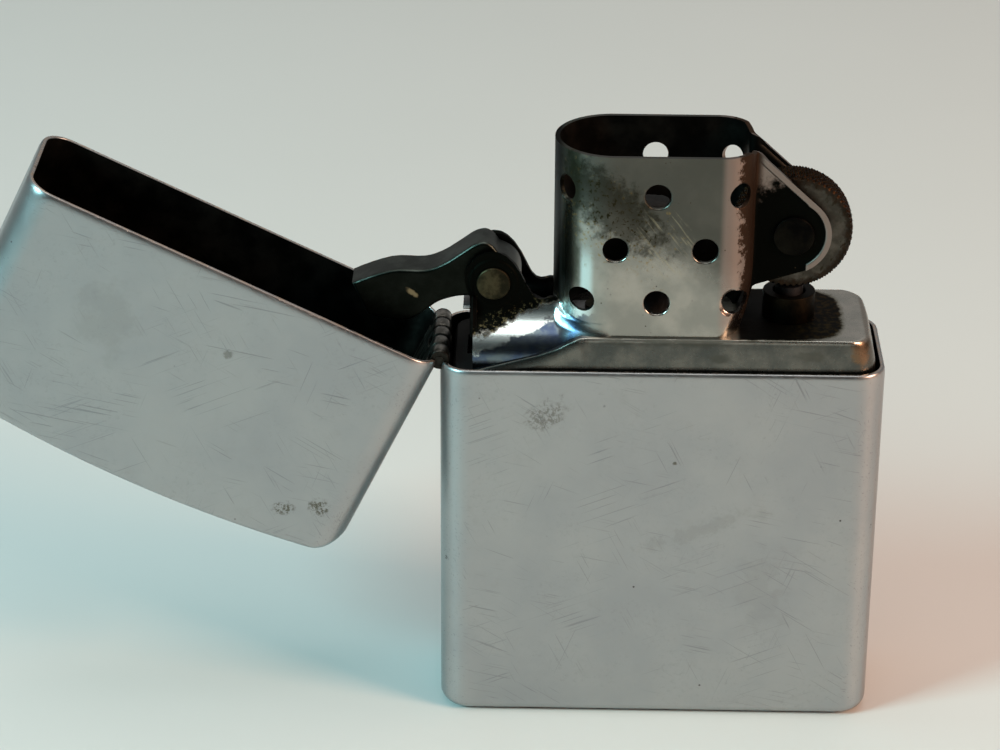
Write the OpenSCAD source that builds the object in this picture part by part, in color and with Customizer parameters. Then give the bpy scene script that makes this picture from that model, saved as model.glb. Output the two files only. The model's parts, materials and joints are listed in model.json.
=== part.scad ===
// Flip-top windproof pocket lighter with its lid standing open.
// Origin: centre of the case's flat bottom. +Z up, hinge on the -X side, flint wheel towards +X.

/* [Case] */
// Width of the case, hinge side to free side
case_w = 38; // [32:0.1:46]
// Depth of the case, front to back
case_d = 12.7; // [10.5:0.1:16]
// Height of the case from the flat bottom to its rim
case_h = 33.8; // [28:0.1:42]
// Radius of the four upright corners
corner_r = 2.6; // [1.8:0.1:3.4]
// Radius of the edge around the bottom
bottom_r = 1.3; // [0.8:0.1:1.6]
// Sheet thickness of case and lid
wall = 0.45; // [0.35:0.05:0.6]

/* [Lid] */
// Height of the lid's side walls from its rim to the ends of its crowned top
lid_h = 20.3; // [17:0.1:25]
// Rise of the crowned top over the ends
crown_h = 1.55; // [1:0.05:2.5]
// Radius where the side walls turn into the top
lid_end_r = 2.2; // [1.4:0.1:2.6]
// Gap between lid rim and case rim when shut
rim_gap = 0.2; // [0.12:0.02:0.3]
// Angle by which the lid stands open
lid_open = 154; // [90:1:160]

/* [Hinge] */
// Outer radius of the hinge knuckles
knuckle_r = 0.8; // [0.65:0.01:0.95]
// Radius of the hinge pin
pin_r = 0.4; // [0.3:0.01:0.5]
// Length of the whole hinge barrel
hinge_len = 9; // [7:0.1:10]
// Number of knuckles, the odd ones on the case
knuckles = 5; // [3:2:7]
// Sheet thickness of the hinge leaves
leaf_t = 0.3; // [0.2:0.01:0.35]
// Height of each hinge leaf's plate
leaf_h = 5.5; // [3:0.1:8]
// Distance of the hinge axis outside the case wall
hinge_out = 0.05; // [0:0.01:0.1]

/* [Insert tank] */
// Side clearance between tank and case on the free side
tank_side_gap = 0.4; // [0.3:0.05:0.6]
// Front and back clearance between tank and case
tank_face_gap = 0.3; // [0.25:0.01:0.5]
// Sheet thickness of the tank
tank_wall = 0.4; // [0.3:0.05:0.5]
// Height of the tank's flat shoulder above the case rim
shoulder_h = 2.8; // [2:0.1:3.5]
// Radius at the free end of the shoulder
shoulder_r = 0.8; // [0.5:0.1:1.5]
// Height of the tank's open lower edge above the case bottom
tank_lift = 1.2; // [0.9:0.1:2]

/* [Chimney] */
// Sheet thickness of the chimney
sheet = 0.4; // [0.3:0.05:0.5]
// Setback of the chimney's faces behind the tank's faces
chimney_inset = 0.58; // [0.4:0.01:1]
// Gap between the chimney's rim and the shut lid's roof over its ends
chimney_headroom = 0.92; // [0.6:0.01:1.5]
// Distance from the cam axle to the chimney's rounded end
cam_to_chimney = 5.08; // [4.8:0.01:6]
// Distance from the chimney's open end to the wheel axle
chimney_to_wheel = 3.4; // [3:0.1:3.8]
// Radius of the wind holes
hole_r = 1.08; // [0.8:0.01:1.2]
// Height between the three rows of wind holes
hole_row_pitch = 4.83; // [3.8:0.01:5]
// Distance of the top row of wind holes below the rim
hole_top_drop = 3.48; // [3:0.01:4]

/* [Cam] */
// Distance of the cam axle from the tank's hinge end
cam_from_end = 3.45; // [3.2:0.01:4]
// Height of the cam axle above the shoulder
cam_rise = 3.7; // [3.5:0.01:4.2]
// Width of the cam
cam_w = 3.4; // [2.8:0.1:3.6]
// Radius of the cam's hub
cam_hub_r = 2.35; // [2.1:0.01:2.5]
// Gap between cam and each of its ears
cam_side_gap = 0.2; // [0.12:0.01:0.3]
// Clearance between the cam's tip and the shut lid's roof over its ends
cam_headroom = 1.45; // [1.2:0.01:2]
// Radius of the cam axle
cam_axle_r = 1; // [0.8:0.01:1.1]
// Radius of the ears around the cam axle
cam_ear_r = 2.55; // [2.4:0.01:2.7]

/* [Flint wheel] */
// Radius of the flint wheel over its teeth
wheel_r = 5.2; // [4.4:0.01:5.3]
// Thickness of the flint wheel
wheel_w = 2.9; // [2.4:0.1:3.1]
// Depth of the wheel's teeth
tooth_h = 0.22; // [0.1:0.01:0.3]
// Number of teeth around the wheel
teeth = 64; // [40:1:72]
// Distance of the wheel axle from the tank's free end
wheel_from_end = 7.35; // [7:0.01:8]
// Height of the wheel axle above the shoulder
wheel_rise = 8.3; // [8:0.01:9]
// Gap between wheel and each of its ears
wheel_side_gap = 0.27; // [0.15:0.01:0.35]
// Radius of the wheel axle
wheel_axle_r = 1.2; // [1:0.01:1.3]
// Radius of the ears around the wheel axle
wheel_ear_r = 3.3; // [3:0.01:3.6]

/* [Flint feed] */
// Outer radius of the flint tube
tube_r = 1.8; // [1.7:0.01:2]
// Radius of the flint tube's bore
tube_bore_r = 1.4; // [1.35:0.01:1.5]
// Radius of the flint
flint_r = 1.2; // [1:0.01:1.25]
// Length of the flint
flint_len = 4.6; // [2:0.1:5]
// Number of turns of the flint spring
spring_turns = 18; // [10:1:20]
// Radius of the spring's wire
wire_r = 0.17; // [0.12:0.01:0.2]
// Radius of the flint screw's head
screw_head_r = 2.4; // [2.2:0.1:2.6]

/* [Fuel store] */
// Radius of the wick
wick_r = 1.45; // [1.2:0.01:1.6]
// Height of the wick's tip above the shoulder
wick_rise = 10.6; // [8:0.1:13]
// Height of the cotton below and above the folded wick
end_wad_h = 5.5; // [3:0.1:6]
// Thickness of the felt pad
felt_t = 2.3; // [1.8:0.1:2.6]

/* [Hidden] */
$fn = 96;
eps = 0.5;              // how far a cutting shape runs past what it cuts
fit_gap = 0.03;         // radial clearance of a pin or axle in its bore
knuckle_gap = 0.06;     // clearance between neighbouring knuckles
notch_gap = 0.1;        // clearance around the barrel in the case and lid walls
leaf_gap = 0.3;         // clearance between hinge leaf and tank
seat_gap = 0.02;        // radial clearance of a tube or rivet pressed into the tank's top
wick_hole_gap = 0.15;   // clearance of the wick in its hole

// Hinge axis and lid
hinge_x = -case_w / 2 - hinge_out;
hinge_z = case_h + rim_gap / 2;
knuckle_len = hinge_len / knuckles;
leaf_half = min(hinge_len / 2, case_d / 2 - corner_r);  // the leaf lies on the flat of the wall
lid_rim_z = case_h + rim_gap;
lid_roof_z = lid_rim_z + lid_h - wall;

// Tank
tank_x0 = -case_w / 2 + wall + leaf_t + leaf_gap;
tank_x1 = case_w / 2 - wall - tank_side_gap;
tank_half_d = case_d / 2 - wall - tank_face_gap;
tank_corner_r = corner_r - wall - tank_face_gap;
shoulder_z = case_h + shoulder_h;
tank_low_end_z = case_h - 0.4;

// Cam and wheel axles
cam_x = tank_x0 + cam_from_end;
cam_z = shoulder_z + cam_rise;
wheel_x = tank_x1 - wheel_from_end;
wheel_z = shoulder_z + wheel_rise;
cam_ear_in = cam_w / 2 + cam_side_gap;
cam_ear_out = cam_ear_in + sheet;
wheel_ear_in = wheel_w / 2 + wheel_side_gap;
wheel_ear_out = wheel_ear_in + sheet;

// Chimney
chimney_half_d = tank_half_d - chimney_inset;
chimney_x0 = cam_x + cam_to_chimney;
chimney_x1 = wheel_x - chimney_to_wheel;
chimney_bow_x = chimney_x0 + chimney_half_d;            // centre of the rounded end
chimney_turn_r = chimney_half_d - wheel_ear_out;        // radius of the turn into each wheel ear
chimney_turn_x = chimney_x1 - chimney_turn_r;
chimney_top_z = lid_roof_z - chimney_headroom;
chimney_mid_x = (chimney_bow_x + chimney_turn_x) / 2 - 0.85;

// Skirts under the cam ears
skirt_half_d = chimney_half_d + 0.13;
skirt_x0 = cam_x - 1.7;
skirt_foot_z = case_h + 0.5;
skirt_neck_z = cam_z - 1.064;
skirt_lean = 2 * atan((skirt_half_d - cam_ear_out) / (skirt_neck_z - skirt_foot_z));  // steepest lean of the flare
skirt_bend_r = (skirt_neck_z - skirt_foot_z) / (2 * sin(skirt_lean));
slope_x1 = chimney_x0 + 2.4;                            // where the shoulder starts to fall
valley_x = (cam_x + chimney_x0) / 2 + 1.4;              // dip between cam ear and chimney
valley_z = cam_z - 1.5;
slope = [for (p = [[0, 0], [0.22, 0.33], [0.6, 0.68], [1, 1]])  // falling stretch of the tank's top
    [slope_x1 - p.x * (slope_x1 - skirt_x0), shoulder_z - p.y * (shoulder_z - tank_low_end_z)]];

// Cam outline about its axle, arm pointing to -X: the upper side from the tip, the underside back to it
cam_reach = lid_roof_z - cam_headroom - cam_z;
cam_top = [
    [-cam_reach - 1, -1.5], [-cam_reach, -0.55], [-cam_reach + 3.3, 0.68], [-6, 0.75], [-4.4, 1.3],
    [-2.9, 2.3], [-1.7, 3.15], [-0.8, 3.4], [-0.1, 3.05], [0.6, 2.15], [1.2, 1.4]
];
cam_under = [
    [-0.6, -2.6], [-1.6, -1.72], [-2.9, -1.65], [-4.25, -2], [-5.1, -2.45], [-7.2, -3.95],
    [-cam_reach + 2.6, -3.85], [-cam_reach + 1.3, -3.5], [-cam_reach, -3]
];
cam_sheet = 0.5;                                        // sheet the cam is folded from
cam_top_t = 0.55;                                       // thickness left along the cam's upper side

// Cam spring
spring_strip_t = 0.35;
spring_strip_half = cam_ear_in - 0.25;
spring_rivet_x = chimney_x0 + 3.9;
spring_rivet_r = 0.6;
spring_rivet_head_r = 1.15;
spring_rivet_head_t = 0.5;
cam_spring_top_z = cam_z - cam_hub_r - 0.15;

// Heads of the two ear rivets
rivet_head_t = 0.45;
cam_head_r = cam_axle_r + 0.45;
wheel_head_r = wheel_axle_r + 0.55;

// Flint feed
wheel_low_z = wheel_z - wheel_r;
flint_top_z = wheel_low_z - 0.08;
collar_r = tube_r + 0.45;
collar_top_z = wheel_low_z - 0.7;
follower_len = 3;
follower_nose_r = 0.85;
follower_low_z = flint_top_z - flint_len - follower_len;
screw_head_t = 1.3;
screw_shank_len = 4.4;
slot_w = 0.6;
slot_depth = 0.7;
tube_low_z = tank_lift + 0.1 + felt_t;
spring_low_z = tube_low_z + screw_shank_len;
spring_top_z = follower_low_z - 0.05;

// Fuel store
wick_x = (chimney_bow_x + chimney_turn_x) / 2 - 1;
wad_gap = 0.2;                                          // clearance between cotton and wick or flint tube
wad_wall_gap = 0.3;                                     // clearance between cotton and tank
wick_run_z = tube_low_z + end_wad_h + wick_r + 0.15;    // lowest level run
wick_pitch = (tank_low_end_z - 0.8 - end_wad_h - wick_r - 0.55 - wick_run_z) / 2;
wick_bend_r = wick_pitch / 2;
wick_left_x = tank_x0 + tank_wall + wick_bend_r + wick_r + 0.2;
wick_right_x = wheel_x - tube_r - wick_bend_r - wick_r - 0.6;
wad_half_d = tank_half_d - tank_wall - wad_wall_gap;
tank_inner_r = tank_corner_r - tank_wall;
wad_x0 = tank_x0 + tank_wall + 0.13 + tank_inner_r      // clears the tank's rounded corners
    - sqrt(pow(tank_inner_r, 2) - pow(tank_inner_r - wad_wall_gap, 2));
wad_edge_r = 1.4;

// ---- helpers ----

function arc(c, r, a0, a1, n) = [for (i = [0:n]) let (a = a0 + (a1 - a0) * i / n) c + r * [cos(a), sin(a)]];

// Point where the line from p touches a circle; side is 1 or -1
function touch(p, c, r, side) =
    let (d = norm(c - p), to = atan2(p.y - c.y, p.x - c.x), open = acos(r / d))
    c + r * [cos(to + side * open), sin(to + side * open)];

// Catmull-Rom curve through the inner points of a list
function smooth(p, n) = [
    for (i = [1:len(p) - 3], k = [0:n - 1])
        let (t = k / n, a = p[i - 1], b = p[i], c = p[i + 1], d = p[i + 2])
        (2 * b + (c - a) * t + (2 * a - 5 * b + 4 * c - d) * t * t
         + (3 * b - a - 3 * c + d) * t * t * t) / 2
];

// Solid whose outline is drawn in X and Z and that runs from y = -half to y = half
module across(half) {
    rotate([90, 0, 0]) linear_extrude(2 * half, center = true) children();
}

// Solid whose outline is drawn in Y and Z and that runs from x0 to x1
module along(x0, x1) {
    translate([x0, 0, 0]) rotate([90, 0, 90]) linear_extrude(x1 - x0) children();
}

// Round bar along Y
module bar(x, z, r, y0, y1) {
    translate([x, y1, z]) rotate([90, 0, 0]) cylinder(r = r, h = y1 - y0);
}

module round_rect(x0, x1, half, r) {
    for (x = [x0 + r, x1 - r], y = [-half + r, half - r]) translate([x, y]) circle(r);
    translate([x0 + r, -half]) square([x1 - x0 - 2 * r, 2 * half]);
    translate([x0, -half + r]) square([x1 - x0, 2 * half - 2 * r]);
}

// Upright outline with its two lower corners rounded
module low_round(half, z0, z1, r) {
    for (x = [-half + r, half - r]) translate([x, z0 + r]) circle(r);
    translate([-half + r, z0]) square([2 * half - 2 * r, z1 - z0]);
    translate([-half, z0 + r]) square([2 * half, z1 - z0 - r]);
}

// Turns what is drawn in the shut position to the open one
module opened() {
    translate([hinge_x, 0, hinge_z])
        rotate([0, -lid_open, 0])
            translate([-hinge_x, 0, -hinge_z])
                children();
}

// ---- case and lid ----

module case_body(inset, z1) {
    intersection() {
        translate([0, 0, -eps])
            linear_extrude(z1 + eps)
                round_rect(-case_w / 2 + inset, case_w / 2 - inset, case_d / 2 - inset, corner_r - inset);
        across(case_d) low_round(case_w / 2 - inset, inset, z1 + 1, bottom_r - inset);
        along(-case_w, case_w) low_round(case_d / 2 - inset, inset, z1 + 1, bottom_r - inset);
    }
}

module barrel_notch() {
    bar(hinge_x, hinge_z, knuckle_r + notch_gap, -hinge_len / 2 - notch_gap, hinge_len / 2 + notch_gap);
}

module case_shell() {
    color([0.62, 0.62, 0.63]) difference() {
        case_body(0, case_h);
        case_body(wall, case_h + eps);
        barrel_notch();
    }
}

// Crowned outline of the lid in X and Z
module crown_outline(inset, z0) {
    half = case_w / 2 - inset;
    end_r = lid_end_r - inset;
    big_r = (pow(case_w / 2, 2) + pow(crown_h, 2)) / (2 * crown_h);
    big_z = lid_rim_z + lid_h + crown_h - big_r;            // centre of the crown's arc
    end_x = half - end_r;
    end_z = big_z + sqrt(pow(big_r - inset - end_r, 2) - pow(end_x, 2));
    turn = atan2(end_z - big_z, end_x);                     // where the end arcs meet the crown
    steps = 36;
    polygon(concat(
        [[-half, z0], [half, z0]],
        arc([end_x, end_z], end_r, 0, turn, 12),
        arc([0, big_z], big_r - inset, turn + (90 - turn) / steps, 180 - turn - (90 - turn) / steps, steps),
        arc([-end_x, end_z], end_r, 180 - turn, 180, 12)
    ));
}

module lid_body(inset, z0) {
    intersection() {
        translate([0, 0, z0])
            linear_extrude(lid_h + 3 * crown_h)
                round_rect(-case_w / 2 + inset, case_w / 2 - inset, case_d / 2 - inset, corner_r - inset);
        across(case_d) crown_outline(inset, z0 - 1);
    }
}

module lid_shell() {
    color([0.62, 0.62, 0.63]) opened() difference() {
        lid_body(0, lid_rim_z);
        lid_body(wall, lid_rim_z - eps);
        barrel_notch();
    }
}

// ---- hinge ----

// Leaf with the knuckles numbered first, first + 2 and so on; up is 1 on the lid and -1 on the case
module hinge_leaf(first, up) {
    plate_x0 = -case_w / 2 + wall;
    plate_z0 = knuckle_r + notch_gap;
    difference() {
        union() {
            translate([plate_x0, -leaf_half, up > 0 ? hinge_z + plate_z0 : hinge_z - plate_z0 - leaf_h])
                cube([leaf_t, 2 * leaf_half, leaf_h]);
            for (k = [first:2:knuckles - 1]) {
                y0 = -hinge_len / 2 + k * knuckle_len + knuckle_gap / 2;
                y1 = y0 + knuckle_len - knuckle_gap;
                bar(hinge_x, hinge_z, knuckle_r, y0, y1);
                web_y0 = max(y0, -leaf_half);
                translate([plate_x0, web_y0, up > 0 ? hinge_z : hinge_z - plate_z0])
                    cube([leaf_t, min(y1, leaf_half) - web_y0, plate_z0]);
            }
        }
        bar(hinge_x, hinge_z, pin_r + fit_gap, -hinge_len, hinge_len);
    }
}

module hinge_case_leaf() {
    color([0.5, 0.47, 0.4]) hinge_leaf(0, -1);
}

module hinge_lid_leaf() {
    color([0.5, 0.47, 0.4]) opened() hinge_leaf(1, 1);
}

module hinge_pin() {
    color([0.35, 0.33, 0.3]) bar(hinge_x, hinge_z, pin_r, -hinge_len / 2, hinge_len / 2);
}

// ---- insert tank ----

// Side outline of the tank; drop lowers the top and inset moves the free end in
module tank_outline(inset, drop, z0) {
    end_x = tank_x1 - inset;
    polygon(concat(
        [[tank_x0, z0], [end_x, z0]],
        arc([end_x - shoulder_r, shoulder_z - drop - shoulder_r], shoulder_r, 0, 90, 8),
        [for (p = slope) p - [0, drop]],
        [[tank_x0, tank_low_end_z - drop]]
    ));
}

module tank_body(inset, z0) {
    intersection() {
        translate([0, 0, z0])
            linear_extrude(shoulder_z - z0 + eps)
                round_rect(tank_x0 + inset, tank_x1 - inset, tank_half_d - inset, tank_corner_r - inset);
        across(case_d) tank_outline(inset, inset, z0);
    }
}

module insert_tank() {
    color([0.6, 0.6, 0.58]) difference() {
        tank_body(0, tank_lift);
        tank_body(tank_wall, tank_lift - eps);
        translate([wick_x, 0, shoulder_z - 1]) cylinder(r = wick_r + wick_hole_gap, h = 2);
        translate([wheel_x, 0, shoulder_z - 1]) cylinder(r = tube_r + seat_gap, h = 2);
        translate([spring_rivet_x, 0, shoulder_z - 1]) cylinder(r = spring_rivet_r + seat_gap, h = 2);
        translate([tank_x0 + 1.2, -cam_ear_in, tank_low_end_z - 2])
            cube([chimney_x0 - tank_x0 - 0.8, 2 * cam_ear_in, 6]);
    }
}

// ---- chimney ----

module chimney_plan(inset) {
    translate([chimney_bow_x, 0]) circle(chimney_half_d - inset);
    translate([chimney_bow_x, -chimney_half_d + inset])
        square([chimney_turn_x - chimney_bow_x, 2 * (chimney_half_d - inset)]);
    for (s = [-1, 1]) translate([chimney_turn_x, s * wheel_ear_out]) circle(chimney_turn_r - inset);
    translate([chimney_turn_x - eps, -wheel_ear_out])
        square([chimney_turn_r - inset + eps, 2 * wheel_ear_out]);
}

// Half of the flared section in Y and Z, on the -Y side; inset moves it inwards
module flare_half(inset) {
    low_z = tank_low_end_z - 1;
    ear_top_z = cam_z + cam_ear_r;
    neck = [-cam_ear_out - skirt_bend_r, skirt_neck_z];     // centre of the bend under the ear
    foot = [-skirt_half_d + skirt_bend_r, skirt_foot_z];    // centre of the bend at the foot
    steps = 12;
    polygon(concat(
        [[0, low_z], [0, ear_top_z], [-cam_ear_out + inset, ear_top_z]],
        arc(neck, skirt_bend_r + inset, 0, -skirt_lean, steps),
        arc(foot, skirt_bend_r - inset, 180 - skirt_lean * (1 - 1 / steps), 180, steps - 1),
        [[-skirt_half_d + inset, low_z]]
    ));
}

module flare(inset) {
    flare_half(inset);
    mirror([1, 0]) flare_half(inset);
}

// Side outline of skirt and cam ear
module skirt_outline() {
    ear_c = [cam_x, cam_z];
    left = touch([skirt_x0 + 0.01, cam_z - 2.6], ear_c, cam_ear_r, -1);
    right = touch([valley_x - 0.9, valley_z + 0.25], ear_c, cam_ear_r, 1);
    translate(ear_c) circle(cam_ear_r);
    polygon(concat(
        [[skirt_x0, tank_low_end_z - 1], [skirt_x0, cam_z - 2.6], left, ear_c, right],
        [[valley_x - 0.9, valley_z + 0.25], [valley_x - 0.4, valley_z], [valley_x + 0.3, valley_z],
         [valley_x + 1, valley_z + 0.5], [chimney_x0 + 0.6, valley_z + 1.6],
         [chimney_bow_x, valley_z + 1.6], [chimney_bow_x, tank_low_end_z - 1]]
    ));
}

// Side outline of one wheel ear
module wheel_ear_outline() {
    wheel_c = [wheel_x, wheel_z];
    top = [chimney_x1 - 0.4, chimney_top_z];
    foot = [chimney_x1 - 0.4, wheel_z - wheel_ear_r - 0.4];
    translate(wheel_c) circle(wheel_ear_r);
    polygon([top, touch(top, wheel_c, wheel_ear_r, -1), wheel_c, touch(foot, wheel_c, wheel_ear_r, 1), foot]);
}

// Wind holes of one face; side is -1 for the front and 1 for the back
module wind_holes(side) {
    z_top = chimney_top_z - hole_top_drop;
    bow_pitch = 1.5 * chimney_half_d;
    // top row: one hole on the rounded end, one in the middle, one on the turn
    translate([chimney_bow_x, 0, z_top]) rotate([0, 0, side * 53])
        rotate([side * -90, 0, 0]) translate([0, 0, chimney_half_d - 1]) cylinder(r = hole_r, h = 3);
    translate([chimney_mid_x, 0, z_top])
        rotate([side * -90, 0, 0]) cylinder(r = hole_r, h = tank_half_d + 1);
    translate([chimney_turn_x, side * wheel_ear_out, z_top]) rotate([0, 0, side * -35])
        rotate([side * -90, 0, 0]) cylinder(r = hole_r, h = chimney_turn_r + 1);
    // middle row: two holes
    for (x = [-0.5, 0.5]) translate([chimney_mid_x + 0.3 + x * bow_pitch, 0, z_top - hole_row_pitch])
        rotate([side * -90, 0, 0]) cylinder(r = hole_r, h = tank_half_d + 1);
    // bottom row: three holes
    for (x = [-0.84, 0, 0.88]) translate([chimney_mid_x + 0.1 + x * bow_pitch, 0, z_top - 2 * hole_row_pitch])
        rotate([side * -90, 0, 0]) cylinder(r = hole_r, h = tank_half_d + 1);
}

module chimney() {
    low_z = tank_low_end_z - 1;
    color([0.58, 0.57, 0.52]) difference() {
        union() {
            difference() {
                translate([0, 0, low_z]) linear_extrude(chimney_top_z - low_z) chimney_plan(0);
                translate([0, 0, low_z - 1]) linear_extrude(chimney_top_z - low_z + 2) chimney_plan(sheet);
                translate([chimney_x1 - 1, -wheel_ear_in, low_z - 1])
                    cube([2, 2 * wheel_ear_in, chimney_top_z]);
            }
            difference() {
                intersection() {
                    along(skirt_x0 - 3, chimney_bow_x) flare(0);
                    across(case_d) skirt_outline();
                }
                along(skirt_x0 - 4, chimney_bow_x + 1) flare(sheet);
                translate([0, 0, low_z - 1]) linear_extrude(chimney_top_z) chimney_plan(sheet);
            }
            difference() {
                across(wheel_ear_out) wheel_ear_outline();
                across(wheel_ear_in) translate([chimney_x1 - 2, low_z]) square([20, 30]);
            }
        }
        across(case_d) tank_outline(0, 0, tank_lift);
        for (side = [-1, 1]) wind_holes(side);
        translate([chimney_x0 - 1, -cam_ear_in, low_z]) cube([2.5, 2 * cam_ear_in, shoulder_z + 1 - low_z]);
        bar(cam_x, cam_z, cam_axle_r, -case_d, case_d);
        bar(wheel_x, wheel_z, wheel_axle_r, -case_d, case_d);
    }
}

// ---- fuel store ----

// Wick: up through the chimney floor, then folded in level runs
module wick() {
    run = [for (i = [0:2]) wick_run_z + (2 - i) * wick_pitch];
    r = wick_bend_r;
    turn_x = wick_x - r;
    color([0.72, 0.68, 0.58]) union() {
        translate([wick_x, 0, run[0] + r]) cylinder(r = wick_r, h = shoulder_z + wick_rise - run[0] - r);
        translate([turn_x, 0, run[0] + r]) wick_bend(0, -90);
        level_run(wick_left_x, turn_x, run[0]);
        translate([wick_left_x, 0, run[0] - r]) wick_bend(-90, 180);
        level_run(wick_left_x, wick_right_x, run[1]);
        translate([wick_right_x, 0, run[1] - r]) wick_bend(90, 180);
        level_run(wick_left_x - 1, wick_right_x, run[2]);
    }
}

// Bend of the wick around a Y axis, a degrees clockwise from +X and then sweep degrees anticlockwise
module wick_bend(a, sweep) {
    rotate([90, a, 0]) rotate_extrude(angle = sweep) translate([wick_bend_r, 0]) circle(wick_r, $fn = 32);
}

module level_run(x0, x1, z) {
    translate([x0, 0, z]) rotate([0, 90, 0]) cylinder(r = wick_r, h = x1 - x0);
}

module wad(x0, x1, z0, z1) {
    across(wad_half_d) translate([0, (z0 + z1) / 2])
        round_rect(x0, x1, (z1 - z0) / 2, min(wad_edge_r, 0.45 * (z1 - z0)));
}

// Five packed wads of cotton around the wick
module cotton_wads() {
    tube_x = wheel_x - tube_r - wad_gap;
    half = wick_r + wad_gap;
    top_z = wick_run_z + 2 * wick_pitch;
    color([0.93, 0.92, 0.88]) {
        wad(wad_x0, wick_x - half - 0.6, top_z + half, tank_low_end_z - tank_wall - 0.6);
        wad(wick_x + half, tube_x, top_z - 1, shoulder_z - tank_wall - 0.4);
        wad(wick_left_x - 1.2, tube_x, wick_run_z + wick_pitch + half, top_z - half);
        wad(wad_x0, wick_right_x + 1.2, wick_run_z + half, wick_run_z + wick_pitch - half);
        wad(wad_x0, tube_x, tube_low_z + 0.1, wick_run_z - half);
    }
}

module felt_pad() {
    inset = tank_wall + 0.1;
    color([0.78, 0.76, 0.7]) difference() {
        translate([0, 0, tank_lift + 0.1]) linear_extrude(felt_t)
            round_rect(tank_x0 + inset, tank_x1 - inset, tank_half_d - inset, tank_corner_r - inset);
        translate([wheel_x, 0, 0]) cylinder(r = screw_head_r + 0.3, h = tube_low_z + 1);
    }
}

// ---- flint feed ----

module flint_tube() {
    color([0.72, 0.58, 0.3]) difference() {
        union() {
            translate([wheel_x, 0, tube_low_z]) cylinder(r = tube_r, h = collar_top_z - tube_low_z);
            translate([wheel_x, 0, shoulder_z]) cylinder(r = collar_r, h = collar_top_z - shoulder_z);
        }
        translate([wheel_x, 0, 0]) cylinder(r = tube_bore_r, h = collar_top_z + 1);
    }
}

module flint_screw() {
    color([0.75, 0.62, 0.34]) difference() {
        union() {
            translate([wheel_x, 0, tube_low_z - screw_head_t]) cylinder(r = screw_head_r, h = screw_head_t);
            translate([wheel_x, 0, tube_low_z]) cylinder(r = tube_bore_r - fit_gap, h = screw_shank_len);
        }
        translate([wheel_x - screw_head_r - eps, -slot_w / 2, tube_low_z - screw_head_t - eps])
            cube([2 * screw_head_r + 2 * eps, slot_w, slot_depth + eps]);
    }
}

// Coil spring swept as one tube from the screw to the follower
module flint_spring() {
    sides = 6;
    steps = spring_turns * 12;
    coil_r = tube_bore_r - wire_r - 0.15;
    rise = spring_top_z - spring_low_z - 2 * wire_r;
    ring = [for (i = [0:steps], k = [0:sides - 1])
        let (a = 360 * spring_turns * i / steps, b = 360 * k / sides)
        [(coil_r + wire_r * cos(b)) * cos(a), (coil_r + wire_r * cos(b)) * sin(a),
         wire_r + rise * i / steps + wire_r * sin(b)]];
    skin = [for (i = [0:steps - 1], k = [0:sides - 1])
        let (n = (k + 1) % sides, p = i * sides, q = p + sides)
        [p + k, q + k, q + n, p + n]];
    cap = [for (k = [0:sides - 1]) k];
    end_cap = [for (k = [sides - 1:-1:0]) steps * sides + k];
    color([0.6, 0.6, 0.62]) translate([wheel_x, 0, spring_low_z])
        polyhedron(points = ring, faces = concat(skin, [cap, end_cap]));
}

module flint_follower() {
    color([0.78, 0.64, 0.34]) translate([wheel_x, 0, follower_low_z])
        union() {
            cylinder(r = follower_nose_r, h = follower_len);
            translate([0, 0, 1]) cylinder(r = flint_r, h = follower_len - 1);
        }
}

module flint() {
    color([0.3, 0.3, 0.3]) translate([wheel_x, 0, flint_top_z - flint_len]) cylinder(r = flint_r, h = flint_len);
}

// ---- cam and its spring ----

module cam_outline() {
    last = len(cam_under) - 2;
    polygon(concat(smooth(cam_top, 4), arc([0, 0], cam_hub_r, 70, -130, 32), smooth(cam_under, 4), [cam_under[last]]));
}

module cam() {
    color([0.3, 0.31, 0.29]) translate([cam_x, 0, cam_z]) difference() {
        across(cam_w / 2) cam_outline();
        across(cam_w / 2 - cam_sheet) translate([0, -cam_top_t]) difference() {
            cam_outline();
            circle(cam_axle_r + 1.2);
        }
        bar(0, 0, cam_axle_r + fit_gap, -cam_w, cam_w);
    }
}

module cam_spring() {
    t = spring_strip_t;
    z0 = shoulder_z;
    z1 = cam_spring_top_z;
    color([0.55, 0.55, 0.56]) difference() {
        across(spring_strip_half) polygon([
            [spring_rivet_x + 1.3, z0], [spring_rivet_x + 1.3, z0 + t], [chimney_x0 - 0.4, z0 + t],
            [chimney_x0 - 2.2, z1], [skirt_x0 - 0.9, z1], [skirt_x0 - 0.9, z1 - t],
            [chimney_x0 - 2.3, z1 - t], [chimney_x0 - 0.5, z0]]);
        translate([spring_rivet_x, 0, z0 - 1]) cylinder(r = spring_rivet_r + seat_gap, h = 3);
    }
}

module cam_spring_rivet() {
    foot_z = shoulder_z - tank_wall - spring_rivet_head_t;
    color([0.5, 0.46, 0.38]) union() {
        translate([spring_rivet_x, 0, foot_z])
            cylinder(r = spring_rivet_r, h = shoulder_z + spring_strip_t + 0.1 - foot_z);
        translate([spring_rivet_x, 0, shoulder_z + spring_strip_t])
            cylinder(r = spring_rivet_head_r, h = spring_rivet_head_t);
        translate([spring_rivet_x, 0, foot_z]) cylinder(r = spring_rivet_head_r, h = spring_rivet_head_t);
    }
}

// Rivet through two ears with a head outside each
module ear_rivet(x, z, r, head_r, ear_out) {
    bar(x, z, r, -ear_out, ear_out);
    bar(x, z, head_r, ear_out, ear_out + rivet_head_t);
    bar(x, z, head_r, -ear_out - rivet_head_t, -ear_out);
}

module cam_axle() {
    color([0.42, 0.38, 0.32]) ear_rivet(cam_x, cam_z, cam_axle_r, cam_head_r, cam_ear_out);
}

module wheel_axle() {
    color([0.33, 0.31, 0.29]) ear_rivet(wheel_x, wheel_z, wheel_axle_r, wheel_head_r, wheel_ear_out);
}

// ---- flint wheel ----

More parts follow.
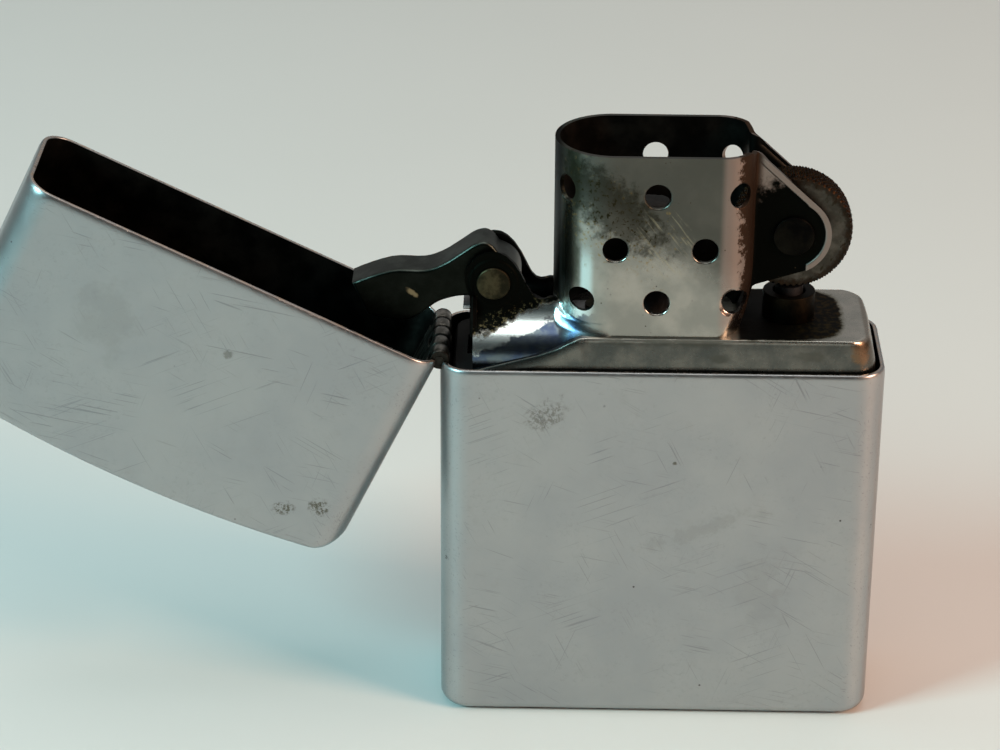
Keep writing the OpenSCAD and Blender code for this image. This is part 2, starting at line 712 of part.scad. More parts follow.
module flint_wheel() {
    step = 360 / teeth;
    rim = [for (i = [0:teeth - 1], k = [0, 1])
        (wheel_r - k * tooth_h) * [cos((i + k / 2) * step), sin((i + k / 2) * step)]];
    color([0.45, 0.42, 0.38]) translate([wheel_x, 0, wheel_z]) difference() {
        across(wheel_w / 2) polygon(rim);
        bar(0, 0, wheel_axle_r + fit_gap, -wheel_w, wheel_w);
    }
}

case_shell();
hinge_case_leaf();
hinge_pin();
insert_tank();
chimney();
wick();
cotton_wads();
felt_pad();
flint_tube();
flint_spring();
flint_screw();
cam_spring();
cam_spring_rivet();
cam_axle();
wheel_axle();
lid_shell();
hinge_lid_leaf();
cam();
flint_wheel();
flint();
flint_follower();
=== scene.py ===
import json
import math

import bmesh
import bpy
from mathutils import Matrix, Vector, noise


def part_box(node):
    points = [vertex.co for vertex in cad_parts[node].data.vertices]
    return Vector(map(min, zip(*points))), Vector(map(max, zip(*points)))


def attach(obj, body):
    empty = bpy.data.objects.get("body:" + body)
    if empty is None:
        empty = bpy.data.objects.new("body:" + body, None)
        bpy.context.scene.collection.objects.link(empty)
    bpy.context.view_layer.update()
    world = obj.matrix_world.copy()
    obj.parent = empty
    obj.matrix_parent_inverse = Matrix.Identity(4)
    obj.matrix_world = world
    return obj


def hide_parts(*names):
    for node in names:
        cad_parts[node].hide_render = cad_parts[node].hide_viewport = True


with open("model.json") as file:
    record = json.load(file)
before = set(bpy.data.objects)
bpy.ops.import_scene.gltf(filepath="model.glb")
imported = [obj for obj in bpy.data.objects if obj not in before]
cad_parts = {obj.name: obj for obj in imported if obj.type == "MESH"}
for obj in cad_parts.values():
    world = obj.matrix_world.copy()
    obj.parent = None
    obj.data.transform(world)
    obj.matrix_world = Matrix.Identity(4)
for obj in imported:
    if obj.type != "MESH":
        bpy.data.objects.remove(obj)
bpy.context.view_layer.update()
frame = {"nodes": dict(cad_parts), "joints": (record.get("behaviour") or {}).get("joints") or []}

MM = 0.001


# ---- sizes, in millimetres, from the frame ----

def node_box(node):
    lo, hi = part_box(node)
    return lo / MM, hi / MM


def joint(name):
    return next(j for j in frame["joints"] if j["name"] == name)


case_lo, case_hi = node_box("case_shell")
tank_lo, tank_hi = node_box("insert_tank")
wheel_hi = node_box("flint_wheel")[1]
cam_lo, cam_hi = node_box("cam")
HINGE = Vector(joint("lid_hinge")["pos_m"]) / MM
CAM_AXLE = Vector(joint("cam_pivot")["pos_m"]) / MM
WHEEL_AXLE = Vector(joint("wheel_spin")["pos_m"]) / MM
LID_OPEN = math.radians(joint("lid_hinge")["range_deg"][1])

WALL = 0.45          # sheet of case and lid
SHEET = 0.4          # sheet of the chimney
CORNER_R = 2.6
BOTTOM_R = 1.3
CASE_W, CASE_D, CASE_H = case_hi.x - case_lo.x, case_hi.y - case_lo.y, case_hi.z
SHOULDER_Z = tank_hi.z
RIM_Z = node_box("chimney")[1].z    # top of the chimney
CHIM_HALF = 5.02     # half depth of the chimney
BOW_X = CAM_AXLE.x + 10.1
TURN_R = 2.9
TURN_X = WHEEL_AXLE.x - 6.3
EAR_Y = 2.12         # outer face of the wheel ears
CAM_EAR_Y = 2.3      # outer face of the cam ears
EAR_TOP = Vector((7.0, RIM_Z))      # where the wheel ears leave the chimney's top edge
WICK_X = BOW_X + 3.45
WICK_HOLE_R, FLINT_HOLE_R = 1.6, 1.82
HOLE_R = 1.08        # wind holes
KNUCKLES = 5
CUT_DEPTH = 2.4      # how far a wind hole's cutter reaches inwards


# ---- small mesh tools ----

def new_object(name, data):
    obj = bpy.data.objects.new(name, data)
    bpy.context.scene.collection.objects.link(obj)
    return obj


def drawn_mesh(obj):
    """Mesh of an object as it is drawn, with its modifiers done."""
    dg = bpy.context.evaluated_depsgraph_get()
    return bpy.data.meshes.new_from_object(obj.evaluated_get(dg), depsgraph=dg)


def ring_faces(n, k, k2):
    """Faces between ring k and ring k2, each of n points."""
    for i in range(n):
        j = (i + 1) % n
        yield [k * n + i, k * n + j, k2 * n + j, k2 * n + i]


def smoothstep(a, b, x):
    t = min(1.0, max(0.0, (x - a) / (b - a)))
    return t * t * (3 - 2 * t)


def mesh_object(name, verts, faces, face_mats=None):
    mesh = bpy.data.meshes.new(name)
    mesh.from_pydata([Vector(v) * MM for v in verts], [], faces)
    if face_mats:
        for p, m in zip(mesh.polygons, face_mats):
            p.material_index = m
    return new_object(name, mesh)


def tidy(obj, sharp_deg=38):
    """Closes up doubles, makes normals point outwards and keeps only real edges sharp."""
    bm = bmesh.new()
    bm.from_mesh(obj.data)
    bmesh.ops.remove_doubles(bm, verts=bm.verts, dist=0.002 * MM)
    bmesh.ops.dissolve_degenerate(bm, edges=bm.edges, dist=0.0005 * MM)
    bmesh.ops.recalc_face_normals(bm, faces=bm.faces)
    limit = math.radians(sharp_deg)
    for f in bm.faces:
        f.smooth = True
    for e in bm.edges:
        e.smooth = not (len(e.link_faces) == 2 and e.calc_face_angle(0) > limit)
    bm.to_mesh(obj.data)
    bm.free()
    return obj


def bake_modifiers(obj):
    mesh = drawn_mesh(obj)
    obj.modifiers.clear()
    obj.data = mesh


def weighted(obj):
    m = obj.modifiers.new("weighted", "WEIGHTED_NORMAL")
    m.keep_sharp = True
    m.weight = 80


def cut(obj, cutter):
    """Takes the cutter out of a piece, which first gets room for three materials."""
    m = obj.modifiers.new("cut", "BOOLEAN")
    m.operation = "DIFFERENCE"
    m.solver = "EXACT"
    m.object = cutter
    while len(obj.data.materials) < 3:
        obj.data.materials.append(None)
    bake_modifiers(obj)
    bpy.data.objects.remove(cutter)


def lathe(name, profile, centre, axis="Y", steps=48):
    """Solid of revolution. profile is a list of (radius, place along the axis)."""
    verts, faces = [], []
    for r, a in profile:
        for i in range(steps):
            t = 2 * math.pi * i / steps
            u, v = r * math.cos(t), r * math.sin(t)
            p = {"Y": (u, a, v), "Z": (u, v, a)}[axis]
            verts.append(Vector(p) + Vector(centre))
    for k in range(len(profile) - 1):
        faces += ring_faces(steps, k, k + 1)
    faces.append(list(range(steps)))
    faces.append([(len(profile) - 1) * steps + i for i in range(steps)])
    return tidy(mesh_object(name, verts, faces))


def join(objects, name):
    bm = bmesh.new()
    for o in objects:
        bm.from_mesh(o.data)
    mesh = bpy.data.meshes.new(name)
    bm.to_mesh(mesh)
    bm.free()
    for o in objects:
        bpy.data.objects.remove(o)
    return new_object(name, mesh)


def install(obj, body, nodes, materials):
    """Makes a finished piece part of the model, in place of CAD nodes."""
    kept = [p.material_index for p in obj.data.polygons]
    obj.data.materials.clear()
    for m in materials:
        obj.data.materials.append(m)
    for p, index in zip(obj.data.polygons, kept):
        p.material_index = index
    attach(obj, body)
    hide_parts(*nodes)


def plan_path(x0, x1, half, r, corner=10, side=46, bow_steps=0):
    """Front half of a rounded rectangle, from the +X end round to the -X end: (x, y, nx, ny)."""
    path = []
    for i in range(bow_steps):
        y = -(half - r) * (i + 0.5) / bow_steps
        path.append((x1, y, 1.0, 0.0))
    for cx, a0 in ((x1 - r, 0), (x0 + r, -90)):
        if a0 == -90:
            for i in range(1, side):
                path.append((x1 - r + (x0 + r - x1 + r) * i / side, -half, 0.0, -1.0))
        for i in range(corner + 1):
            a = math.radians(a0 - 90 * i / corner)
            nx, ny = math.cos(a), math.sin(a)
            path.append((cx + r * nx, -half + r + r * ny, nx, ny))
    return path


def ring(path, place):
    """Closed ring of points; place turns (x, y, nx, ny) of the front half into a point."""
    front = [place(*p) for p in path]
    return front + [(x, -y, z) for x, y, z in reversed(front)]


def loft(name, rings, band_mats, caps, gap=None):
    """Skin over rings. band_mats and caps give the slot of a band and of a closed ring; gap has no band."""
    n = len(rings[0])
    faces, mats = [], []
    for k in range(len(rings) - 1):
        if k != gap:
            faces += ring_faces(n, k, k + 1)
            mats += [band_mats.get(k, 0)] * n
    for k, m in caps.items():
        for i in range(n // 2 - 1):
            faces.append([k * n + i, k * n + i + 1, k * n + n - 2 - i, k * n + n - 1 - i])
            mats.append(m)
    return mesh_object(name, [v for r in rings for v in r], faces, mats)


def quarter(r, steps, rise=None):
    """Points (inwards, upwards) of a rounded edge, from its side to its top, as tall as rise."""
    for i in range(steps + 1):
        a = math.radians(90 * i / steps)
        yield r * (1 - math.cos(a)), (rise or r) * math.sin(a)


# ---- materials: a small language for node graphs ----

class Graph:
    def __init__(self, name, metallic=1.0):
        self.mat = bpy.data.materials.new(name)
        self.mat.use_nodes = True
        self.tree = self.mat.node_tree
        self.bsdf = self.tree.nodes["Principled BSDF"]
        self.bsdf.inputs["Metallic"].default_value = metallic
        coords = self.node("ShaderNodeTexCoord")
        scale = self.node("ShaderNodeVectorMath", operation="SCALE")
        scale.inputs["Scale"].default_value = 1 / MM
        self.link(coords.outputs["Object"], scale.inputs[0])
        self.at = scale.outputs[0]          # place on the object, in millimetres
        split = self.node("ShaderNodeSeparateXYZ")
        self.link(self.at, split.inputs[0])
        self.x, self.y, self.z = split.outputs

    def node(self, kind, **settings):
        n = self.tree.nodes.new(kind)
        for k, v in settings.items():
            setattr(n, k, v)
        return n

    def link(self, a, b):
        self.tree.links.new(a, b)

    def put(self, value, socket):
        if isinstance(value, bpy.types.NodeSocket):
            self.link(value, socket)
        elif isinstance(value, (tuple, list)) and len(value) == 3 and socket.type == "RGBA":
            socket.default_value = (*value, 1)
        else:
            socket.default_value = value

    def math(self, op, a, b=0.0, c=0.0):
        n = self.node("ShaderNodeMath", operation=op)
        for i, v in enumerate((a, b, c)):
            self.put(v, n.inputs[i])
        return n.outputs[0]

    def add(self, *parts):
        out = parts[0]
        for p in parts[1:]:
            out = self.math("ADD", out, p)
        return out

    def mul(self, *parts):
        out = parts[0]
        for p in parts[1:]:
            out = self.math("MULTIPLY", out, p)
        return out

    def sub(self, a, b):
        return self.math("SUBTRACT", a, b)

    def wavy(self, amount, *noise):
        """Noise that swings as far above zero as below it."""
        return self.mul(self.sub(self.noise(*noise), 0.5), amount)

    def over(self, under, share, strength, colour):
        """Lays colour over what is there, where share is 1, as strongly as strength says."""
        return self.mix(self.mul(share, strength), under, colour)

    def where(self, lo, hi, *noise):
        """Patches of noise: 1 where it is above hi and 0 where it is below lo."""
        return self.step(self.noise(*noise), lo, hi)

    def step(self, value, lo, hi):
        """0 below lo and 1 above hi, or the other way round where lo is larger."""
        n = self.node("ShaderNodeMapRange", interpolation_type="SMOOTHSTEP")
        self.put(value, n.inputs["Value"])
        if lo < hi:
            n.inputs["From Min"].default_value, n.inputs["From Max"].default_value = lo, hi
        else:
            n.inputs["From Min"].default_value, n.inputs["From Max"].default_value = hi, lo
            n.inputs["To Min"].default_value, n.inputs["To Max"].default_value = 1, 0
        return n.outputs[0]

    def stretch(self, sx, sy, sz, turn=(0, 0, 0)):
        n = self.node("ShaderNodeMapping", vector_type="TEXTURE")
        n.inputs["Scale"].default_value = (1 / sx, 1 / sy, 1 / sz)
        n.inputs["Rotation"].default_value = [math.radians(t) for t in turn]
        self.link(self.at, n.inputs["Vector"])
        return n.outputs[0]

    def noise(self, size, detail=4, rough=0.55, at=None):
        """Noise whose patches are about size millimetres across."""
        n = self.node("ShaderNodeTexNoise")
        n.inputs["Scale"].default_value = 1 / size
        n.inputs["Detail"].default_value = detail
        n.inputs["Roughness"].default_value = rough
        self.link(at or self.at, n.inputs["Vector"])
        return n.outputs["Fac"]

    def cells(self, size):
        """Distance to the nearest of many scattered points, about size millimetres apart."""
        n = self.node("ShaderNodeTexVoronoi")
        n.inputs["Scale"].default_value = 1 / size
        self.link(self.at, n.inputs["Vector"])
        return n.outputs["Distance"]

    def mix(self, share, a, b):
        n = self.node("ShaderNodeMix", data_type="RGBA")
        self.put(share, n.inputs[0])
        self.put(a, n.inputs[6])
        self.put(b, n.inputs[7])
        return n.outputs[2]

    def spot(self, x, z, rx, rz, ragged=0.6, size=1.2, turn=0.0):
        """Ragged patch about a place seen from the front or back, 1 in its middle."""
        c, s = math.cos(math.radians(turn)), math.sin(math.radians(turn))
        dx, dz = self.sub(self.x, x), self.sub(self.z, z)
        u = self.mul(self.add(self.mul(dx, c), self.mul(dz, s)), 1 / rx)
        v = self.mul(self.add(self.mul(dz, c), self.mul(dx, -s)), 1 / rz)
        d = self.math("SQRT", self.add(self.mul(u, u), self.mul(v, v)))
        d = self.add(d, self.wavy(ragged * 2, size, 5, 0.65))
        return self.step(d, 1.0, 0.45)

    def most(self, *parts):
        out = parts[0]
        for p in parts[1:]:
            out = self.math("MAXIMUM", out, p)
        return out

    def scratches(self, size, keep, turn, long=40):
        """Thin straight lines, seen on faces that look along Y."""
        at = self.stretch(1 / long, 1, 1, (0, turn, 0))
        lines = self.where(keep, keep + 0.02, size, 1, 0.4, at)
        patch = self.where(0.5, 0.62, 7, 2, 0.5, self.stretch(1, 1, 1, (0, turn + 40, 30)))
        return self.mul(lines, patch)

    def finish(self, colour=None, rough=None, height=None, bump=0.3, distance=0.05):
        if colour is not None:
            self.put(colour, self.bsdf.inputs["Base Color"])
        if rough is not None:
            self.put(rough, self.bsdf.inputs["Roughness"])
        if height is not None:
            n = self.node("ShaderNodeBump")
            n.inputs["Strength"].default_value = bump
            n.inputs["Distance"].default_value = distance * MM
            self.link(height, n.inputs["Height"])
            self.link(n.outputs[0], self.bsdf.inputs["Normal"])
        return self.mat


def worn_chrome(name, lid):
    g = Graph(name)
    cloud = g.noise(9, 4, 0.6)
    grain = g.noise(0.35, 3, 0.6)
    brushed = g.noise(0.12, 2, 0.5, g.stretch(0.08, 1, 1, (0, 12, 0)))
    lines = g.most(*(g.scratches(*s) for s in (
        (0.14, 0.68, 12, 50), (0.11, 0.69, -22, 70), (0.13, 0.69, 63, 50),
        (0.12, 0.68, 33, 60), (0.12, 0.70, -68, 60), (0.16, 0.73, 21, 40))))
    pits = g.mul(g.step(g.cells(6.3), 0.045, 0.02), g.where(0.42, 0.55, 0.4, 3))
    specks = g.mul(g.step(g.cells(2.3), 0.055, 0.025), g.where(0.52, 0.62, 6, 2))
    broken = g.where(0.42, 0.6, 0.28, 4, 0.7)
    colour = g.mix(g.step(cloud, 0.3, 0.7), (0.375, 0.383, 0.392), (0.435, 0.438, 0.436))
    worn = g.mul(g.where(0.5, 0.72, 0.45, 5, 0.75), g.where(0.4, 0.65, 5, 3))
    colour = g.over(colour, worn, 0.3, (0.24, 0.24, 0.24))
    colour = g.over(colour, g.where(0.55, 0.8, 3, 5, 0.7), 0.35, (0.33, 0.32, 0.31))
    if lid:
        stains = g.most(g.mul(g.spot(-32.6, 20.4, 1.2, 0.8, 0.7, 0.5), broken),
                        g.mul(g.spot(-29.4, 20.5, 1.1, 1.05, 0.7, 0.5), broken),
                        g.mul(g.spot(-36.9, 35.1, 0.5, 0.5, 0.9, 0.3), 0.5),
                        g.mul(g.spot(-47, 38.5, 3.2, 4.0, 1.2, 2.0), 0.12))
    else:
        stains = g.most(g.mul(g.spot(-9.9, 29.8, 2.4, 1.5, 0.8, 0.9, 35), broken, 0.6),
                        g.mul(g.spot(1.2, 25.3, 0.25, 0.2, 0.6, 0.3), 0.9),
                        g.mul(g.spot(4.5, 19.2, 6.5, 1.0, 1.5, 1.2, 20), 0.13),
                        g.mul(g.spot(9.0, 13.0, 2.5, 5.0, 1.5, 2.0), 0.08))
    colour = g.over(colour, stains, 0.8, (0.10, 0.085, 0.05))
    colour = g.over(colour, g.most(pits, specks), 0.85, (0.05, 0.035, 0.03))
    colour = g.over(colour, lines, 0.34, (0.20, 0.20, 0.21))
    rough = g.add(0.27, g.mul(g.step(cloud, 0.3, 0.75), 0.09), g.mul(grain, 0.06), g.mul(lines, 0.15),
                  g.mul(stains, 0.25))
    height = g.add(g.mul(g.noise(14, 2, 0.4), 1.6), g.mul(brushed, 0.10), g.mul(grain, 0.12),
                   g.mul(lines, -0.25), g.mul(pits, -1.0), g.mul(specks, -0.6))
    return g.finish(colour, rough, height, 0.35, 0.06)


def rim_metal(name):
    g = Graph(name)
    wear = g.where(0.4, 0.65, 0.9, 4, 0.6)
    colour = g.mix(wear, (0.72, 0.66, 0.62), (0.62, 0.48, 0.36))
    colour = g.mix(g.where(0.62, 0.75, 0.5, 3), colour, (0.12, 0.09, 0.07))
    return g.finish(colour, g.add(0.22, g.mul(wear, 0.2)), g.noise(0.3, 3), 0.3, 0.02)


def painted_inside_shade(name):
    """Near-black inner side of the sheets: painted shade, which inside the chimney also stands for soot."""
    g = Graph(name)
    soot_and_shade = g.noise(2.5, 5, 0.6)
    colour = g.mix(g.step(soot_and_shade, 0.35, 0.7), (0.008, 0.008, 0.007), (0.022, 0.02, 0.017))
    return g.finish(colour, g.add(0.34, g.mul(soot_and_shade, 0.3)), g.noise(0.4, 4), 0.4, 0.03)


def chimney_steel():
    g = Graph("chimney_steel")
    mottle = g.noise(1.1, 6, 0.68)
    fine = g.noise(0.28, 4, 0.65)
    flecks = g.where(0.53, 0.62, 0.42, 5, 0.72)
    away = g.math("ABSOLUTE", g.y)
    wall = g.step(g.x, -9.0, -8.6)
    diag = g.add(g.z, g.mul(g.x, 0.55))
    # bare steel, light low down and dull grey higher up
    steel = g.mix(g.where(0.35, 0.7, 3, 4), (0.30, 0.295, 0.265), (0.42, 0.40, 0.355))
    dull = g.mul(g.step(g.add(diag, g.mul(mottle, 3)), 43.5, 49.0), 0.85)
    colour = g.mix(dull, steel, (0.055, 0.055, 0.045))
    left = g.mul(wall, g.step(g.add(g.x, g.mul(mottle, 0.8)), -6.5, -7.2), g.step(g.z, 39.0, 42.0))
    colour = g.over(colour, left, 0.85, (0.035, 0.042, 0.028))
    # painted highlight: a bright vertical strip on the round end
    painted_shine_strip = g.mul(g.step(g.x, -7.3, -6.9), g.step(g.x, -5.9, -6.5),
                  g.step(g.z, 45.4, 42.5), g.step(g.z, 38.0, 40.0))
    colour = g.over(colour, painted_shine_strip, 0.8, (0.66, 0.80, 0.79))
    # brown heat stain with gold flecks, falling to the right
    patch = g.spot(-4.9, 48.5, 7.6, 3.2, 0.9, 1.0, -38)
    gold = g.mul(g.spot(-5.4, 47.2, 8.0, 4.4, 1.1, 0.9, -38), flecks)
    colour = g.over(colour, gold, 0.75, (0.27, 0.19, 0.07))
    colour = g.over(colour, patch, g.add(0.68, g.mul(flecks, 0.3)), (0.018, 0.016, 0.008))
    streaks = g.where(0.56, 0.62, 0.16, 2, 0.5, g.stretch(1 / 22, 1, 1, (0, 52, 0)))
    streaks = g.mul(streaks, g.spot(0.2, 45.2, 2.4, 4.2, 0.9, 1.2, 20))
    colour = g.over(colour, streaks, 0.4, (0.40, 0.36, 0.25))
    # pinkish turn with rust down its edge
    turn = g.mul(g.step(g.x, 4.3, 5.0), g.step(g.z, 37.0, 38.0))
    colour = g.over(colour, turn, 0.55, (0.36, 0.27, 0.235))
    rust_at = g.add(g.x, g.wavy(3.4, 0.9, 6, 0.75), g.mul(g.z, 0.045))
    rust = g.mul(g.step(rust_at, 8.15, 8.5), g.step(g.x, 8.2, 7.5), g.step(away, 1.9, 2.1))
    colour = g.over(colour, rust, 0.95, (0.030, 0.015, 0.007))
    # wheel ears: sooty dish inside a worn rim
    in_ear = g.mul(g.step(away, 2.27, 2.17), g.step(g.x, 6.9, 7.4))
    ear_at = g.add(g.mul(g.z, -0.35), g.mul(g.x, 0.12), g.mul(mottle, 2.2))
    ear_soot = g.mul(in_ear, g.step(ear_at, -15.5, -14.9))
    # skirt: blue low down, a painted highlight band rising to the wall, stains and soot above it
    skirt = g.step(g.x, -5.6, -7.6)
    band = g.sub(g.z, g.add(41.45, g.mul(g.x, 0.38)))
    band = g.add(band, g.mul(g.sub(mottle, 0.5), 2.2))
    foot = g.mul(skirt, g.step(g.z, 39.6, 39.0))
    rainbow = g.mix(g.where(0.35, 0.65, 1.2, 4), (0.07, 0.10, 0.165), (0.15, 0.19, 0.21))
    colour = g.over(colour, foot, g.step(band, -0.3, -0.75), rainbow)
    # painted highlight along the middle of the band
    painted_highlight_band = g.mul(foot, g.step(band, -0.7, -0.35), g.step(band, 0.75, 0.4))
    colour = g.over(colour, painted_highlight_band, 0.9, (0.84, 0.98, 0.97))
    tan = g.mul(skirt, g.step(band, 0.3, 0.6), g.step(band, 1.8, 1.2), flecks)
    cam_side = g.step(g.x, -8.3, -9.0)
    cam_soot = g.mul(cam_side, g.step(band, 0.55, 0.95))
    colour = g.mix(g.most(ear_soot, cam_soot), colour, (0.0035, 0.004, 0.003))
    colour = g.over(colour, tan, 0.6, (0.20, 0.165, 0.085))
    specks = g.mul(g.step(g.cells(0.8), 0.11, 0.05), g.where(0.45, 0.6, 4, 2))
    colour = g.over(colour, specks, 0.8, (0.05, 0.035, 0.02))
    dirt = g.most(patch, rust, ear_soot, cam_soot)
    rough = g.add(0.2, g.mul(fine, 0.06), g.mul(dirt, 0.3), g.mul(dull, 0.12))
    height = g.add(g.mul(dirt, 0.6), g.mul(fine, 0.3), g.mul(g.noise(5, 2), 0.8), g.mul(specks, -0.6))
    return g.finish(colour, rough, height, 0.35, 0.05)


def tank_steel():
    g = Graph("tank_steel")
    cloud = g.noise(2.6, 5, 0.62)
    fine = g.noise(0.35, 4, 0.65)
    # soot and painted shade in an oval around and under the wheel on the flat shoulder
    u = g.mul(g.sub(g.x, 8.4), 1 / 7.0)
    v = g.mul(g.y, 1 / 5.3)
    d = g.add(g.mul(u, u, u, u), g.mul(v, v, v, v), g.wavy(0.5, 0.9, 5, 0.7))
    on_top = g.step(g.z, SHOULDER_Z - 0.25, SHOULDER_Z - 0.1)
    soot_and_shade = g.mul(g.step(d, 1.05, 0.86), on_top, g.step(g.x, 5.8, 6.6))
    halo = g.mul(g.step(d, 1.2, 0.95), on_top, g.step(g.x, 5.8, 6.6))
    rust = g.mul(soot_and_shade, g.where(0.45, 0.62, 0.6, 5, 0.7), g.step(g.x, 9.5, 14.0))
    brown = g.mul(g.spot(16.7, 35.6, 1.0, 1.7, 0.9, 0.7), g.step(g.z, SHOULDER_Z, SHOULDER_Z - 0.3))
    # darker streaky band along the top front edge, just under the chimney
    dark_top_edge = g.mul(g.step(g.z, 35.75, 36.2), g.step(g.x, -6.5, -4.0), g.step(g.x, 9.0, 5.0))
    smudge = g.most(g.mul(dark_top_edge, g.where(0.40, 0.55, 1.2, 5, 0.7, g.stretch(0.3, 1, 1))),
                    g.mul(g.spot(4.8, 34.9, 1.3, 0.5, 0.9, 0.8), 0.8),
                    g.mul(g.spot(12.5, 35.2, 1.6, 0.6, 0.9, 0.8), 0.7),
                    g.mul(g.where(0.6, 0.75, 1.8, 5, 0.7), 0.5))
    roll = g.mul(g.step(g.x, 17.05, 17.25), g.step(g.x, 17.9, 17.6),
                 g.step(g.z, SHOULDER_Z - 0.8, SHOULDER_Z - 0.4))
    # painted light and shade: the same steel, light on the lit flat top and dark on the shaded sides
    flat = g.mix(g.step(cloud, 0.35, 0.7), (0.50, 0.49, 0.44), (0.66, 0.62, 0.55))
    side = g.mix(g.step(cloud, 0.35, 0.7), (0.09, 0.095, 0.088), (0.17, 0.165, 0.145))
    colour = g.mix(g.step(g.z, SHOULDER_Z - 0.45, SHOULDER_Z - 0.1), side, flat)
    colour = g.over(colour, smudge, 0.7, (0.09, 0.09, 0.075))
    colour = g.over(colour, g.most(brown, g.mul(roll, 0.55)), 0.8, (0.20, 0.13, 0.075))
    colour = g.over(colour, halo, 0.6, (0.14, 0.13, 0.07))
    colour = g.mix(soot_and_shade, colour, (0.0045, 0.004, 0.003))
    colour = g.over(colour, rust, 0.7, (0.045, 0.030, 0.010))
    # painted shade: the tank's hinge end, which lies in shadow, made near-black
    shaded_hinge_end = g.step(g.x, -15.8, -16.3)
    colour = g.over(colour, shaded_hinge_end, 0.95, (0.012, 0.012, 0.012))
    rough = g.add(0.24, g.mul(fine, 0.08), g.mul(soot_and_shade, 0.4), g.mul(smudge, 0.2), g.mul(shaded_hinge_end, 0.4))
    height = g.add(g.mul(fine, 0.35), g.mul(soot_and_shade, 0.8), g.mul(cloud, 0.5))
    return g.finish(colour, rough, height, 0.3, 0.05)


def dark_metal(name, base, light, rough0, tan=None, soot_side=0.0):
    g = Graph(name)
    cloud = g.noise(1.6, 5, 0.65)
    fine = g.noise(0.22, 4, 0.65)
    colour = g.mix(g.step(cloud, 0.38, 0.68), base, light)
    if soot_side:
        side = g.step(g.math("ABSOLUTE", g.y), soot_side - 0.06, soot_side)
        colour = g.over(colour, side, 0.9, (0.004, 0.0045, 0.003))
    colour = g.over(colour, g.where(0.62, 0.72, 0.6, 4, 0.7), 0.6, [0.4 * c for c in base])
    if tan:
        colour = g.over(colour, g.spot(*tan), 0.7, (0.34, 0.25, 0.14))
    rough = g.add(rough0, g.mul(cloud, 0.14), g.mul(fine, 0.08))
    return g.finish(colour, rough, g.add(g.mul(fine, 0.6), g.mul(cloud, 0.5)), 0.35, 0.03)


def hinge_metal():
    """Dull plated steel, with painted shade in the gaps between the knuckles."""
    g = Graph("hinge_dull")
    half = node_box("hinge_case_leaf")[1].y
    place = g.math("FRACT", g.mul(g.add(g.y, half), KNUCKLES / (2 * half)))
    gap = g.step(g.math("ABSOLUTE", g.sub(place, 0.5)), 0.30, 0.46)
    cloud = g.noise(0.9, 5, 0.65)
    colour = g.mix(g.step(cloud, 0.38, 0.66), (0.10, 0.095, 0.08), (0.34, 0.32, 0.28))
    # painted shade near the knuckle ends, where the gaps are
    colour = g.over(colour, gap, 0.92, (0.012, 0.011, 0.009))
    rough = g.add(0.24, g.mul(cloud, 0.12), g.mul(gap, 0.2))
    return g.finish(colour, rough, g.add(cloud, g.mul(gap, -2.0)), 0.5, 0.06)


def wheel_metal():
    g = Graph("wheel_steel")
    ax = g.math("ABSOLUTE", g.y)
    side = g.step(ax, 1.40, 1.44)
    dx, dz = g.sub(g.x, WHEEL_AXLE.x), g.sub(g.z, WHEEL_AXLE.z)
    radius = g.math("SQRT", g.add(g.mul(dx, dx), g.mul(dz, dz)))
    crust = g.noise(0.45, 6, 0.7)
    rusty = g.mix(g.step(crust, 0.36, 0.64), (0.005, 0.003, 0.0015), (0.026, 0.013, 0.006))
    rusty = g.mix(g.where(0.6, 0.7, 0.25, 4), rusty, (0.035, 0.03, 0.025))
    ticks = g.where(0.58, 0.66, 0.35, 3, 0.6, g.stretch(1, 1, 0.35, (0, 20, 0)))
    plain = g.mix(g.where(0.4, 0.7, 1.2, 5), (0.055, 0.051, 0.042), (0.11, 0.102, 0.085))
    plain = g.over(plain, ticks, g.step(radius, 3.4, 4.2), (0.035, 0.03, 0.02))
    edge = g.step(g.add(radius, g.mul(crust, 1.1)), 4.75, 5.2)
    plain = g.over(plain, edge, 0.8, rusty)
    colour = g.mix(side, rusty, plain)
    return g.finish(colour, g.add(0.36, g.mul(crust, 0.25)), crust, 0.45, 0.05)


def fibre(name, base, dark):
    g = Graph(name, 0.0)
    strand = g.noise(0.18, 4, 0.6, g.stretch(1, 1, 0.25, (20, 0, 0)))
    colour = g.mix(strand, dark, base)
    return g, colour, strand


def wick_material():
    g, colour, strand = fibre("wick_cotton", (0.58, 0.54, 0.45), (0.30, 0.26, 0.2))
    char = g.step(g.add(g.z, g.mul(g.noise(0.8, 4), 2.5)), SHOULDER_Z - 1.0, SHOULDER_Z + 1.5)
    colour = g.mix(char, colour, (0.012, 0.011, 0.010))
    g.bsdf.inputs["Roughness"].default_value = 0.9
    return g.finish(colour, None, strand, 0.7, 0.08)


def soft_material(name, base, dark):
    g, colour, strand = fibre(name, base, dark)
    g.bsdf.inputs["Roughness"].default_value = 0.95
    return g.finish(colour, None, g.add(strand, g.noise(0.8, 5)), 0.8, 0.1)


CHROME_CASE = worn_chrome("case_chrome", False)
CHROME_LID = worn_chrome("lid_chrome", True)
RIM = rim_metal("cut_rim")
